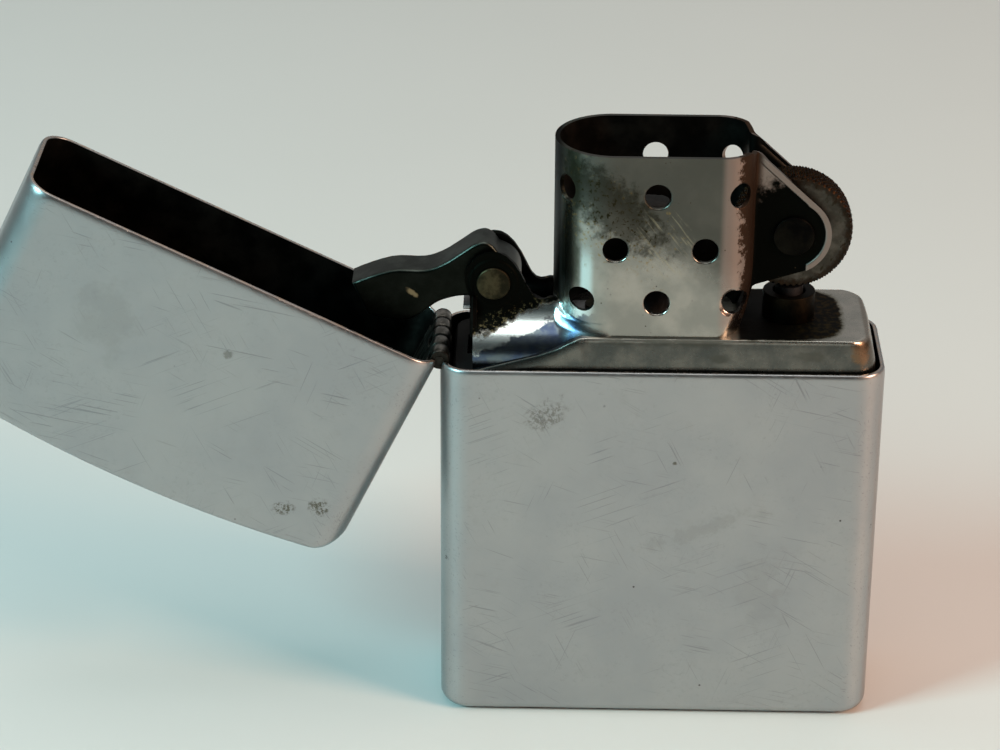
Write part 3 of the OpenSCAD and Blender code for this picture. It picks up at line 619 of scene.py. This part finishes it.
# inner sides of the sheets: painted shade, with soot inside the chimney
SHADE_INSIDE = painted_inside_shade("inside_painted_shade")
CHIMNEY = chimney_steel()
TANK = tank_steel()
CAM_METAL = dark_metal("cam_gunmetal", (0.035, 0.042, 0.036), (0.075, 0.086, 0.075), 0.27,
                       tan=(-21.5, 39.0, 0.75, 0.3, 0.6, 0.4, -38), soot_side=cam_hi.y - 0.03)
RIVET = dark_metal("rivet_dark", (0.016, 0.015, 0.009), (0.07, 0.058, 0.032), 0.34)
WHEEL_RIVET = dark_metal("wheel_rivet_dark", (0.003, 0.003, 0.0028), (0.009, 0.008, 0.006), 0.38)
HINGE_METAL = hinge_metal()
SPRING = dark_metal("spring_steel", (0.30, 0.30, 0.30), (0.50, 0.50, 0.50), 0.28)
BRASS = dark_metal("old_brass", (0.40, 0.29, 0.12), (0.66, 0.50, 0.24), 0.28)
TUBE = dark_metal("tube_brass", (0.004, 0.004, 0.003), (0.014, 0.010, 0.006), 0.45)
FLINT = dark_metal("flint_grey", (0.015, 0.015, 0.016), (0.04, 0.04, 0.042), 0.55)
WHEEL = wheel_metal()
WICK = wick_material()
COTTON = soft_material("cotton_wool", (0.86, 0.85, 0.80), (0.62, 0.60, 0.55))
FELT = soft_material("felt_grey", (0.62, 0.59, 0.53), (0.40, 0.38, 0.33))


# ---- case ----

def hinge_notch():
    r, half = 0.9, 4.6
    return lathe("notch", [(r, -half), (r, half)], HINGE, "Y", 40)


def build_case():
    path = plan_path(case_lo.x, case_hi.x, CASE_D / 2, CORNER_R)
    lip, lip_rise, lip_in = 0.22, 0.5, 0.08
    levels = [(BOTTOM_R - BOTTOM_R * math.sin(t), BOTTOM_R - BOTTOM_R * math.cos(t))
              for t in [math.radians(10 * i) for i in range(10)]]
    levels += [(0, BOTTOM_R + 0.4), (0, CASE_H / 2), (0, CASE_H - 0.8)]
    levels += [(a, CASE_H - lip_rise + b) for a, b in quarter(lip, 8, lip_rise)]
    rim_from = len(levels) - 1
    levels += [(WALL - a, CASE_H - lip_in + b) for a, b in reversed(list(quarter(lip_in, 3)))]
    rim_to = len(levels) - 4
    inside_from = len(levels) - 1
    inner_r = BOTTOM_R - WALL
    levels += [(WALL, CASE_H - 1), (WALL, CASE_H / 2)]
    levels += [(WALL + a, WALL + inner_r - b) for a, b in quarter(inner_r, 6)]
    bands = {k: 1 for k in range(rim_from, rim_to + 1)}
    bands.update({k: 2 for k in range(inside_from, len(levels) - 1)})
    rings = [ring(path, lambda x, y, nx, ny, i=i, z=z: (x - nx * i, y - ny * i, z)) for i, z in levels]
    case = tidy(loft("case", rings, bands, {0: 0, len(rings) - 1: 0}))
    cut(case, hinge_notch())
    weighted(tidy(case))
    install(case, "base", ["case_shell"], [CHROME_CASE, RIM, SHADE_INSIDE])


# ---- lid ----

def build_lid():
    shut = Matrix.Rotation(LID_OPEN, 4, "Y")
    zs = [(shut @ (v.co / MM - HINGE) + HINGE).z for v in frame["nodes"]["lid_shell"].data.vertices]
    rim_z, top_z = min(zs), max(zs)
    crown = 1.55
    big_r = ((CASE_W / 2) ** 2 + crown ** 2) / (2 * crown)

    def roof(x, inset=0.0):
        r = big_r - inset
        return top_z - big_r + math.sqrt(r * r - x * x)

    face_r, end_r = 0.55, 2.2

    def place(inset, z_of, shell):
        """inset is the wall's distance inwards; z_of gives (extra inset, height) for an edge radius."""
        def f(x, y, nx, ny):
            e = max(0.25, face_r + (end_r - face_r) * nx * nx - shell)
            extra, z = z_of(e, x - nx * inset)
            return x - nx * (inset + extra), y - ny * (inset + extra), z
        return f

    path = plan_path(case_lo.x, case_hi.x, CASE_D / 2, CORNER_R, 12, 60)
    lip, lip_rise, lip_in, top_steps = 0.22, 0.8, 0.08, 9
    rings, bands = [], {}
    for k in range(top_steps + 1):                      # outside, from the roof down
        t = math.radians(90 - 90 * k / top_steps)
        rings.append(ring(path, place(0, lambda e, x, t=t: (
            e * (1 - math.cos(t)), roof(x) - e * (1 - math.sin(t))), 0)))
    for z in (rim_z + 16, rim_z + 8, rim_z + 1.1):
        rings.append(ring(path, place(0, lambda e, x, z=z: (0, z), 0)))
    for a, b in quarter(lip, 8, lip_rise):
        rings.append(ring(path, place(a, lambda e, x, b=b: (0, rim_z + lip_rise - b), 0)))
    rim_from = len(rings) - 1
    for a, b in reversed(list(quarter(lip_in, 3))):
        rings.append(ring(path, place(WALL - a, lambda e, x, b=b: (0, rim_z + lip_in - b), 0)))
    for k in range(rim_from - 1, rim_from + 2):
        bands[k] = 1
    inside_from = len(rings) - 1
    for z in (rim_z + 1, rim_z + 8, rim_z + 15):
        rings.append(ring(path, place(WALL, lambda e, x, z=z: (0, z), WALL)))
    for k in range(top_steps + 1):
        t = math.radians(90 * k / top_steps)
        rings.append(ring(path, place(WALL, lambda e, x, t=t: (
            e * (1 - math.cos(t)), roof(x, WALL) - e * (1 - math.sin(t))), WALL)))
    bands.update({k: 2 for k in range(inside_from, len(rings) - 1)})
    lid = tidy(loft("lid", rings, bands, {0: 0, len(rings) - 1: 0}))
    for p in lid.data.polygons:
        c = p.center / MM
        if p.normal.z < -0.5 and c.z > rim_z + 10:
            p.material_index = 2
    cut(lid, hinge_notch())
    lid.data.transform(Matrix.Translation(HINGE * MM) @ Matrix.Rotation(-LID_OPEN, 4, "Y")
                       @ Matrix.Translation(-HINGE * MM))
    weighted(tidy(lid))
    install(lid, "lid", ["lid_shell"], [CHROME_LID, RIM, SHADE_INSIDE])


# ---- tank ----

def slope_z(x):
    """Height of the tank's top: flat shoulder, falling towards the hinge under the cam."""
    x1, x0 = BOW_X - 2.62, CAM_AXLE.x - 1.7
    low = CASE_H - 0.4
    if x >= x1:
        return SHOULDER_Z
    t = min(1.0, (x1 - x) / (x1 - x0))
    marks = [(0, 0), (0.1, 0.13), (0.22, 0.33), (0.4, 0.52), (0.6, 0.68), (0.8, 0.84), (1, 1)]
    for (a, fa), (b, fb) in zip(marks, marks[1:]):
        if t <= b:
            return SHOULDER_Z - (fa + (fb - fa) * (t - a) / (b - a)) * (SHOULDER_Z - low)
    return low


def build_tank():
    half, corner_r, bow, low_z = tank_hi.y, 1.85, 0.6, 20
    path = plan_path(tank_lo.x, tank_hi.x, half, corner_r, 10, 72, 5)
    # rounded shoulder, from the side to the top: share of its width, and drop below the top
    profile = [(0, 2.6), (0.06, 2.1), (0.18, 1.5), (0.34, 0.9), (0.48, 0.5), (0.6, 0.24), (0.72, 0.09),
               (0.85, 0.02), (1, 0)]

    def place(shell, share, drop):
        def f(x, y, nx, ny):
            inset = share * (0.3 + 0.5 * max(nx, 0)) + shell
            bowed = bow * share * (y / half) ** 2 * smoothstep(14.5, 16.5, x)
            px, py = x - nx * inset - bowed, y - ny * inset
            scale = 1 if px > -7 else 0.35       # the edge is sharper beside the cam
            return px, py, slope_z(px) - shell - drop * scale
        return f

    def low(shell, z):
        return lambda x, y, nx, ny: (x - nx * shell, y - ny * shell, z)

    rings = [ring(path, low(0, tank_lo.z)), ring(path, low(0, low_z))]
    rings += [ring(path, place(0, s, d)) for s, d in profile]
    outer = len(rings)
    rings += [ring(path, place(SHEET, s, d)) for s, d in reversed(profile)]
    rings += [ring(path, low(SHEET, low_z)), ring(path, low(SHEET, tank_lo.z)), ring(path, low(0, tank_lo.z))]
    bands = {k: 1 for k in range(outer, len(rings) - 1)}
    tank = tidy(loft("fuel_tank", rings, bands, {outer - 1: 0, outer: 1}, outer - 1))
    slot = mesh_box("slot", (tank_lo.x + 1.2, -1.9, 30), (CAM_AXLE.x + 5.4, 1.9, 40))
    cut(tank, slot)
    for centre_x, r_hole in ((WICK_X, WICK_HOLE_R), (WHEEL_AXLE.x, FLINT_HOLE_R)):
        cut(tank, lathe("hole", [(r_hole, 30), (r_hole, 40)], (centre_x, 0, 0), "Z", 40))
    weighted(tidy(tank))
    install(tank, "base", ["insert_tank"], [TANK, SHADE_INSIDE])


def mesh_box(name, lo, hi):
    corners = [(x, y, z) for x in (lo[0], hi[0]) for y in (lo[1], hi[1]) for z in (lo[2], hi[2])]
    faces = [(0, 1, 3, 2), (4, 6, 7, 5), (0, 4, 5, 1), (2, 3, 7, 6), (0, 2, 6, 4), (1, 5, 7, 3)]
    return tidy(mesh_object(name, corners, faces))


# ---- chimney ----

def piecewise(marks, x):
    if x <= marks[0][0]:
        return marks[0][1]
    for (a, fa), (b, fb) in zip(marks, marks[1:]):
        if x <= b:
            t = (x - a) / (b - a) if b > a else 1
            return fa + (fb - fa) * t
    return marks[-1][1]


EAR_C = Vector((WHEEL_AXLE.x - 0.35, 0, WHEEL_AXLE.z + 0.05))
EAR_R = 3.55
EAR_FOOT_Z = EAR_C.z - EAR_R - 1.2


def tangent_height(p, upper, x):
    """Height at x of the line from p that touches the wheel ear's round end."""
    d = Vector((EAR_C.x - p[0], EAR_C.z - p[1]))
    spread = math.asin(EAR_R / d.length) * (1 if upper else -1)
    a = math.atan2(d.y, d.x) + spread
    touch_x = p[0] + math.cos(a) * math.sqrt(d.length ** 2 - EAR_R ** 2)
    if x <= touch_x:
        return p[1] + math.tan(a) * (x - p[0])
    s = math.sqrt(max(0.0, EAR_R ** 2 - (x - EAR_C.x) ** 2))
    return EAR_C.z + (s if upper else -s)


def ear_depth(x, z):
    """Distance inwards from the wheel ear's edge."""
    circle = EAR_R - math.hypot(x - EAR_C.x, z - EAR_C.z)
    d = Vector((EAR_C.x - EAR_TOP.x, EAR_C.z - EAR_TOP.y))
    a = math.atan2(d.y, d.x) + math.asin(EAR_R / d.length)
    line = (x - EAR_TOP.x) * math.sin(a) - (z - EAR_TOP.y) * math.cos(a)
    return max(circle, line) if x < EAR_C.x + 1.5 else circle


def grid_sheet(name, columns, rows, point):
    """Sheet over a grid of columns by rows, thickened inwards. Its inner side and edges are slots 1 and 2."""
    verts = [point(c, k / rows) for c in columns for k in range(rows + 1)]
    n = rows + 1
    faces = []
    for i in range(len(columns) - 1):
        for k in range(rows):
            faces.append([i * n + k, (i + 1) * n + k, (i + 1) * n + k + 1, i * n + k + 1])
    obj = mesh_object(name, verts, faces)
    m = obj.modifiers.new("thick", "SOLIDIFY")
    m.thickness = SHEET * MM
    m.offset = -1
    m.use_even_offset = False
    m.material_offset = 1
    m.material_offset_rim = 2
    for _ in range(3):
        obj.data.materials.append(CHIMNEY)
    bake_modifiers(obj)
    return obj


def chimney_columns():
    cols = []
    for i in range(25):                                  # round end, from its middle to the front wall
        a = math.radians(180 + 90 * i / 24)
        cols.append((BOW_X + CHIM_HALF * math.cos(a), CHIM_HALF * math.sin(a)))
    n = 40
    cols += [(BOW_X + (TURN_X - BOW_X) * i / n, -CHIM_HALF) for i in range(1, n)]
    for i in range(20):                                  # turn towards the wheel
        a = math.radians(270 + 86 * i / 19)
        cols.append((TURN_X + TURN_R * math.cos(a), -EAR_Y + TURN_R * math.sin(a)))
    x_ear = TURN_X + TURN_R
    cols += [(x_ear + 0.03, -EAR_Y - 0.12), (x_ear + 0.1, -EAR_Y - 0.04), (x_ear + 0.22, -EAR_Y)]
    start, end = x_ear + 0.36, EAR_C.x + EAR_R
    n = 44
    for i in range(n + 1):
        cols.append((start + (end - start) * math.sin(math.pi / 2 * i / n), -EAR_Y))
    return cols


def chimney_point(c, t):
    x, y = c
    x_ear = TURN_X + TURN_R
    ear_foot = (x_ear - 0.2, EAR_FOOT_Z)
    high = RIM_Z if x < EAR_TOP.x else tangent_height(EAR_TOP, True, x)
    low = SHOULDER_Z - 0.25
    if x > x_ear + 0.02:
        foot = tangent_height(ear_foot, False, x)
        low = low + (foot - low) * smoothstep(x_ear, x_ear + 0.25, x)
    z = low + (high - low) * t
    dent = 0.0
    if y > -EAR_Y - 0.01 and x > x_ear:
        depth = ear_depth(x, z)
        dent = -0.16 * (1 - smoothstep(0.42, 0.62, depth)) * smoothstep(x_ear + 0.1, x_ear + 0.9, x)
    pull = smoothstep(3.5, x_ear, x) * max(0.0, (42.5 - z) / 5.9) ** 2 * 0.9 if x <= x_ear + 0.3 else 0.0
    return x - pull, y + dent, z


def flare_y(z):
    """Distance of the skirt from the middle plane, wide at its foot and narrow at the ear."""
    foot, neck = CASE_H + 0.5, CAM_AXLE.z - 1.06
    wide = CHIM_HALF + 0.1
    lean = 2 * math.atan((wide - CAM_EAR_Y) / (neck - foot))
    r = (neck - foot) / (2 * math.sin(lean))
    if z <= foot:
        return wide
    if z >= neck:
        return CAM_EAR_Y
    if z - foot < r * math.sin(lean):
        return wide - r + math.sqrt(r * r - (z - foot) ** 2)
    return CAM_EAR_Y + r - math.sqrt(r * r - (neck - z) ** 2)


# upper and lower outline of the skirt and its cam ear: (x, height)
CAM_EAR_TOP = [(-16.95, 40.6), (-16.9, 41.1), (-16.75, 41.6), (-16.4, 42.15), (-15.9, 42.65), (-15.3, 43.0),
               (-14.6, 43.18), (-14.0, 43.1), (-13.4, 42.75), (-12.8, 42.15), (-12.2, 41.2), (-11.7, 40.2),
               (-11.3, 39.4), (-10.9, 38.95), (-10.5, 38.8), (-10.1, 38.85), (-9.7, 39.0), (-9.3, 39.0),
               (-8.9, 38.75), (-8.4, 38.5), (-7.4, 38.4), (-3.2, 38.4)]
CAM_EAR_FOOT = [(-16.95, 40.6), (-16.9, 40.1), (-16.75, 39.6), (-16.5, 38.9), (-16.25, 38.2), (-16.2, 33.3),
                (-10.0, 34.4), (-7.0, 35.9), (-3.2, 36.3)]


def skirt_point(x, t):
    high, low = piecewise(CAM_EAR_TOP, x), piecewise(CAM_EAR_FOOT, x)
    z = low + (high - low) * t
    wall = math.sqrt(max(0.0, CHIM_HALF ** 2 - min(0.0, x - BOW_X) ** 2)) if x > BOW_X - CHIM_HALF else 0.0
    a, b, k = flare_y(z), wall, 2.4 - 1.8 * smoothstep(37.0, 39.2, z)
    h = max(0.0, k - abs(a - b)) / k
    y = max(a, b) + h * h * k / 4 + 0.03
    near_top = smoothstep(-9.9, -9.2, x) * (1 - smoothstep(0.05, 0.9, high - z))
    sink = max(near_top, smoothstep(-5.8, -3.6, x))
    y = y * (1 - sink) + (max(a, b) - 0.1) * sink
    if x > BOW_X - 0.5:
        y = min(y, CHIM_HALF + 0.12)
    ring_d = math.hypot(x - CAM_AXLE.x, z - CAM_AXLE.z)
    y += 0.13 * (1 - smoothstep(2.0, 2.2, ring_d)) + 0.07 * (1 - smoothstep(2.75, 2.9, ring_d))
    return x, -y, z


def hole_cutter(centre, direction):
    """Round cutter that flares at the outer face of the wall, which starts at centre."""
    d = Vector(direction).normalized()
    r = HOLE_R
    profile = [(r, -CUT_DEPTH), (r, -0.12), (r + 0.03, -0.05), (r + 0.12, 0.02), (r + 0.3, 0.12),
               (r + 0.3, 1.0)]
    c = lathe("cutter", profile, (0, 0, 0), "Z", 40)
    turn = d.to_track_quat("Z", "Y").to_matrix().to_4x4()
    c.data.transform(Matrix.Translation(Vector(centre) * MM) @ turn)
    return c


def wind_holes():
    mid = (BOW_X + TURN_X) / 2 - 0.85
    top, pitch, side = RIM_Z - 3.48, 4.83, 1.5 * CHIM_HALF
    cutters = []
    for s in (-1, 1):
        a = math.radians(53)
        cutters.append(hole_cutter((BOW_X - CHIM_HALF * math.sin(a), s * CHIM_HALF * math.cos(a), top),
                                   (-math.sin(a), s * math.cos(a), 0)))
        a = math.radians(35)
        cutters.append(hole_cutter((TURN_X + TURN_R * math.sin(a), s * (EAR_Y + TURN_R * math.cos(a)), top),
                                   (math.sin(a), s * math.cos(a), 0)))
        rows = [(mid, top)] + [(mid + 0.3 + f * side, top - pitch) for f in (-0.5, 0.5)]
        rows += [(mid + 0.1 + f * side, top - 2 * pitch) for f in (-0.84, 0, 0.88)]
        for x, z in rows:
            wall = CHIM_HALF
            if x < BOW_X:
                wall = math.sqrt(CHIM_HALF ** 2 - (x - BOW_X) ** 2)
            if x > TURN_X:
                wall = EAR_Y + math.sqrt(TURN_R ** 2 - (x - TURN_X) ** 2)
            if x < BOW_X - 2:
                wall = CHIM_HALF - 0.05
            cutters.append(hole_cutter((x, s * wall, z), (0, s, 0)))
    return join(cutters, "cutters")


def mirrored(obj):
    """Copy of a front piece for the back."""
    other = new_object(obj.name + "_back", obj.data.copy())
    other.data.transform(Matrix.Scale(-1, 4, (0, 1, 0)))
    other.data.flip_normals()
    return other


def build_chimney():
    front = grid_sheet("front", chimney_columns(), 110, chimney_point)
    xs = [-16.95, -16.93, -16.88, -16.8, -16.7, -16.6, -16.5, -16.4, -16.3, -16.25, -16.2]
    n = 96
    xs += [-16.2 + (-3.4 + 16.2) * i / n for i in range(1, n + 1)]
    skirt = grid_sheet("skirt", xs, 80, skirt_point)
    walls = [front, mirrored(front)]
    parts = walls + [skirt, mirrored(skirt)]
    cutters = wind_holes()
    for o in walls:
        cut(o, new_object("copy", cutters.data.copy()))
    bpy.data.objects.remove(cutters)
    chimney = join(parts, "chimney_sheet")
    tidy(chimney, 45)
    weighted(chimney)
    install(chimney, "base", ["chimney"], [CHIMNEY, SHADE_INSIDE, CHIMNEY])


# ---- cam, rivets and wheel ----

def outline_loops(node, y):
    """Outlines of a CAD node's flat face in the plane at y, as lists of (x, z)."""
    bm = bmesh.new()
    bm.from_mesh(frame["nodes"][node].data)
    bmesh.ops.remove_doubles(bm, verts=bm.verts, dist=1e-7)
    flat = [f for f in bm.faces if all(abs(v.co.y / MM - y) < 0.004 for v in f.verts)]
    in_flat = set(flat)
    nexts = {}
    for f in flat:
        for e in f.edges:
            if sum(g in in_flat for g in e.link_faces) == 1:
                a, b = (v.index for v in e.verts)
                nexts.setdefault(a, []).append(b)
                nexts.setdefault(b, []).append(a)
    place = {v.index: (v.co.x / MM, v.co.z / MM) for v in bm.verts}
    bm.free()
    loops, seen = [], set()
    for start in nexts:
        if start in seen:
            continue
        loop, here, back = [], start, None
        while here not in seen:
            seen.add(here)
            loop.append(place[here])
            onward = [k for k in nexts[here] if k != back and k not in seen]
            if not onward:
                break
            back, here = here, onward[0]
        loops.append(loop)
    return sorted(loops, key=len, reverse=True)


def area(loop):
    return sum(a[0] * b[1] - b[0] * a[1] for a, b in zip(loop, loop[1:] + loop[:1])) / 2


def bevelled_plate(name, loops, half, bevel):
    """Plate between y = -half and y = half with rounded edges, drawn as filled outlines."""
    curve = bpy.data.curves.new(name, "CURVE")
    curve.dimensions = "2D"
    curve.fill_mode = "BOTH"
    for loop in loops:
        s = curve.splines.new("POLY")
        s.points.add(len(loop) - 1)
        for p, (x, z) in zip(s.points, loop):
            p.co = (x * MM, z * MM, 0, 1)
        s.use_cyclic_u = True
    curve.extrude = (half - bevel) * MM
    curve.bevel_depth = bevel * MM
    curve.bevel_resolution = 3
    curve.offset = -bevel * MM
    obj = new_object(name, curve)
    mesh = drawn_mesh(obj)
    bpy.data.objects.remove(obj)
    plate = new_object(name, mesh)
    plate.data.transform(Matrix.Rotation(math.radians(90), 4, "X"))
    return plate


def build_cam():
    loops = outline_loops("cam", cam_lo.y)
    outer = max(loops, key=lambda l: abs(area(l)))
    sheet, drop, boss_r, bore_r, reach = 0.5, 0.55, 2.2, 1.03, 3
    cam = tidy(bevelled_plate("cam_lever", [outer], cam_hi.y, 0.28), 50)
    hollow = tidy(bevelled_plate("hollow", [outer], cam_hi.y - sheet, 0.05))     # open below
    hollow.data.transform(Matrix.Translation((0, 0, -drop * MM)))
    cut(hollow, lathe("boss", [(boss_r, -reach), (boss_r, reach)], CAM_AXLE, "Y", 40))
    cut(cam, hollow)
    cut(cam, lathe("bore", [(bore_r, -reach), (bore_r, reach)], CAM_AXLE, "Y", 40))
    weighted(tidy(cam, 50))
    install(cam, "cam", ["cam"], [CAM_METAL])


def rivet(name, centre, shaft_r, head_r, ear_y, dome, materials, node):
    """Rivet through both ears, with a domed head whose edge is rounded on each side."""
    edge_r, head = 0.12, 0.30
    side = [(shaft_r, 0), (head_r, 0)]
    for t in range(0, 91, 15):
        a = math.radians(t)
        side.append((head_r - edge_r + edge_r * math.cos(a), head - edge_r + edge_r * math.sin(a)))
    side += [(head_r * f, head + dome * (1 - f * f)) for f in (0.75, 0.5, 0.25, 0.05)]
    profile = [(r, -ear_y - a) for r, a in reversed(side)] + [(r, ear_y + a) for r, a in side]
    obj = lathe(name, profile, centre, "Y", 56)
    install(obj, "base", [node], materials)


def build_wheel():
    r, half = wheel_hi.x - WHEEL_AXLE.x, wheel_hi.y
    teeth, per, across = 60, 6, 18
    around = teeth * per
    verts, faces = [], []
    bore = 1.23

    def zigzag(t):
        t = t % 1.0
        return abs(2 * t - 1)

    rows = [(bore, -half), (r - 1.3, -half), (r - 0.45, -half)]
    rows += [(None, -half + 2 * half * k / across) for k in range(across + 1)]
    rows += [(r - 0.45, half), (r - 1.3, half), (bore, half)]
    for rr, y in rows:
        for i in range(around):
            a = 2 * math.pi * i / around
            radius = rr
            if rr is None:
                u, v = i / per, y / (2 * math.pi * r / teeth)
                cross = zigzag(u + v * 0.9) * zigzag(u - v * 0.9)
                radius = r - 0.30 + 0.29 * cross + 0.03 * noise.noise(Vector((i * 0.31, y * 2.1, 4)))
                radius -= 0.12 * smoothstep(half - 0.25, half, abs(y))
            verts.append((WHEEL_AXLE.x + radius * math.cos(a), y, WHEEL_AXLE.z + radius * math.sin(a)))
    n = len(rows)
    for k in range(n):
        faces += ring_faces(around, k, (k + 1) % n)
    wheel = tidy(mesh_object("toothed_wheel", verts, faces), 30)
    install(wheel, "wheel", ["flint_wheel"], [WHEEL])


# ---- hinge and small CAD parts: edges broken, finish added ----

def break_edges(node, slot, material, width=0.08):
    o = frame["nodes"][node]
    w = o.modifiers.new("weld", "WELD")
    w.merge_threshold = 0.001 * MM
    b = o.modifiers.new("edge", "BEVEL")
    b.width = width * MM
    b.segments = 3
    b.limit_method = "ANGLE"
    b.angle_limit = math.radians(50)
    b.use_clamp_overlap = True
    o.data.materials.clear()
    o.data.materials.append(material)


# ---- soft fuel store ----

def build_soft_node(node, name, body_name, material, amount, size):
    """Fibrous version of a soft CAD solid, remeshed, smoothed and never swollen beyond its place."""
    source = frame["nodes"][node]
    obj = tidy(new_object(name, source.data.copy()))
    m = obj.modifiers.new("even", "REMESH")
    m.mode = "VOXEL"
    m.voxel_size = size * MM
    s = obj.modifiers.new("soft", "SMOOTH")
    s.factor, s.iterations = 0.5, 6
    bake_modifiers(obj)
    normals = [v.normal.copy() for v in obj.data.vertices]
    for v, n in zip(obj.data.vertices, normals):
        d = noise.fractal(v.co / MM * 0.9, 0.9, 2.1, 4) - 0.35
        v.co += n * (min(0.0, d) * amount * MM)
    for p in obj.data.polygons:
        p.use_smooth = True
    install(obj, body_name, [node], [material])


build_case()
build_lid()
build_tank()
build_chimney()
build_cam()
rivet("cam_rivet", CAM_AXLE, 1.0, 1.45, CAM_EAR_Y + 0.16, 0.12, [RIVET], "cam_axle")
rivet("wheel_rivet", WHEEL_AXLE, 1.2, 1.75, EAR_Y, 0.06, [WHEEL_RIVET], "wheel_axle")
build_wheel()
build_soft_node("wick", "wick_cord", "base", WICK, 0.25, 0.22)
build_soft_node("cotton_wads", "cotton_wool", "base", COTTON, 0.5, 0.4)
build_soft_node("felt_pad", "felt", "base", FELT, 0.15, 0.35)
for node, slot, material, width in (
        ("hinge_case_leaf", "hinge", HINGE_METAL, 0.14), ("hinge_lid_leaf", "hinge", HINGE_METAL, 0.14),
        ("hinge_pin", "hinge", HINGE_METAL, 0.1), ("flint_tube", "tube", TUBE, 0.1),
        ("flint_screw", "screw", BRASS, 0.1), ("flint_follower", "screw", BRASS, 0.1),
        ("flint", "flint", FLINT, 0.1), ("cam_spring", "spring", SPRING, 0.06),
        ("cam_spring_rivet", "rivet", RIVET, 0.1)):
    break_edges(node, slot, material, width)
spring = frame["nodes"]["flint_spring"]
spring.data.materials.clear()
spring.data.materials.append(SPRING)


# ---- stage, light and camera ----

WORLD_TOP, WORLD_BACK, WORLD_LOW = 0.30, 0.22, 0.03      # strength above, behind, and all round
KEY, COOL, WARM = 0.62, 2.35, 2.3                        # watts of the three lights
CAMERA_AIM, CAMERA_AWAY = Vector((-13.942, 0, 30.429)), 280.7
LENS = 116.14


def floor():
    size = 2.5
    mesh = bpy.data.meshes.new("floor")
    corners = [(-size, -size, 0), (size, -size, 0), (size, size, 0), (-size, size, 0)]
    mesh.from_pydata(corners, [], [(0, 1, 2, 3)])
    obj = new_object("floor", mesh)
    g = Graph("pale_floor", 0.0)
    g.bsdf.inputs["Roughness"].default_value = 0.55
    g.bsdf.inputs["Specular IOR Level"].default_value = 0.3
    colour = g.mix(g.noise(60, 3), (0.66, 0.655, 0.63), (0.70, 0.69, 0.665))
    mesh.materials.append(g.finish(colour))


def area_light(name, place, target, size, power, colour):
    light = bpy.data.lights.new(name, "AREA")
    light.shape = "RECTANGLE"
    light.size, light.size_y = size
    light.energy = power
    light.color = colour
    obj = new_object(name, light)
    obj.location = place
    obj.rotation_mode = "QUATERNION"
    obj.rotation_quaternion = (Vector(target) - Vector(place)).to_track_quat("-Z", "Y")


def studio():
    """Dim room, dark towards the camera, under one broad soft light and two faint coloured ones."""
    world = bpy.data.worlds.new("studio")
    world.use_nodes = True
    tree = world.node_tree
    back = tree.nodes["Background"]
    coords = tree.nodes.new("ShaderNodeTexCoord")
    split = tree.nodes.new("ShaderNodeSeparateXYZ")
    tree.links.new(coords.outputs["Generated"], split.inputs[0])

    def glow(axis, start, end, strength):
        n = tree.nodes.new("ShaderNodeMapRange")
        n.interpolation_type = "SMOOTHSTEP"
        n.inputs["From Min"].default_value, n.inputs["From Max"].default_value = start, end
        n.inputs["To Max"].default_value = strength
        tree.links.new(split.outputs[axis], n.inputs["Value"])
        return n.outputs[0]

    glows, total = tree.nodes.new("ShaderNodeMath"), tree.nodes.new("ShaderNodeMath")
    tree.links.new(glow("Z", 0.5, 0.95, WORLD_TOP), glows.inputs[0])
    tree.links.new(glow("Y", -0.2, 0.7, WORLD_BACK), glows.inputs[1])
    tree.links.new(glows.outputs[0], total.inputs[0])
    total.inputs[1].default_value = WORLD_LOW
    tree.links.new(total.outputs[0], back.inputs[1])
    back.inputs[0].default_value = (1.0, 0.99, 0.97, 1)
    bpy.context.scene.world = world
    area_light("key_top", (-0.02, -0.01, 0.50), (0, 0.0, 0), (0.34, 0.34), KEY, (1.0, 0.99, 0.96))
    area_light("cool_left", (-0.40, -0.22, 0.30), (0, 0.02, 0), (0.16, 0.16), COOL, (0.46, 0.93, 1.0))
    area_light("warm_right", (0.42, -0.20, 0.26), (0, 0.02, 0), (0.16, 0.16), WARM, (1.0, 0.62, 0.44))


def camera():
    cam = bpy.data.cameras.new("camera")
    cam.sensor_width = 36
    cam.lens = LENS
    cam.clip_start, cam.clip_end = 0.01, 20
    obj = new_object("camera", cam)
    azimuth, elevation, roll = (math.radians(a) for a in (0.987, 25.98, 0.343))
    back = Vector((math.sin(azimuth) * math.cos(elevation), -math.cos(azimuth) * math.cos(elevation),
                   math.sin(elevation)))
    obj.location = (CAMERA_AIM + back * CAMERA_AWAY) * MM
    turn = (-back).to_track_quat("-Z", "Y") @ Matrix.Rotation(roll, 3, "Z").to_quaternion()
    obj.rotation_mode = "QUATERNION"
    obj.rotation_quaternion = turn
    bpy.context.scene.camera = obj


floor()
studio()
camera()
bpy.context.scene.view_settings.view_transform = "Standard"
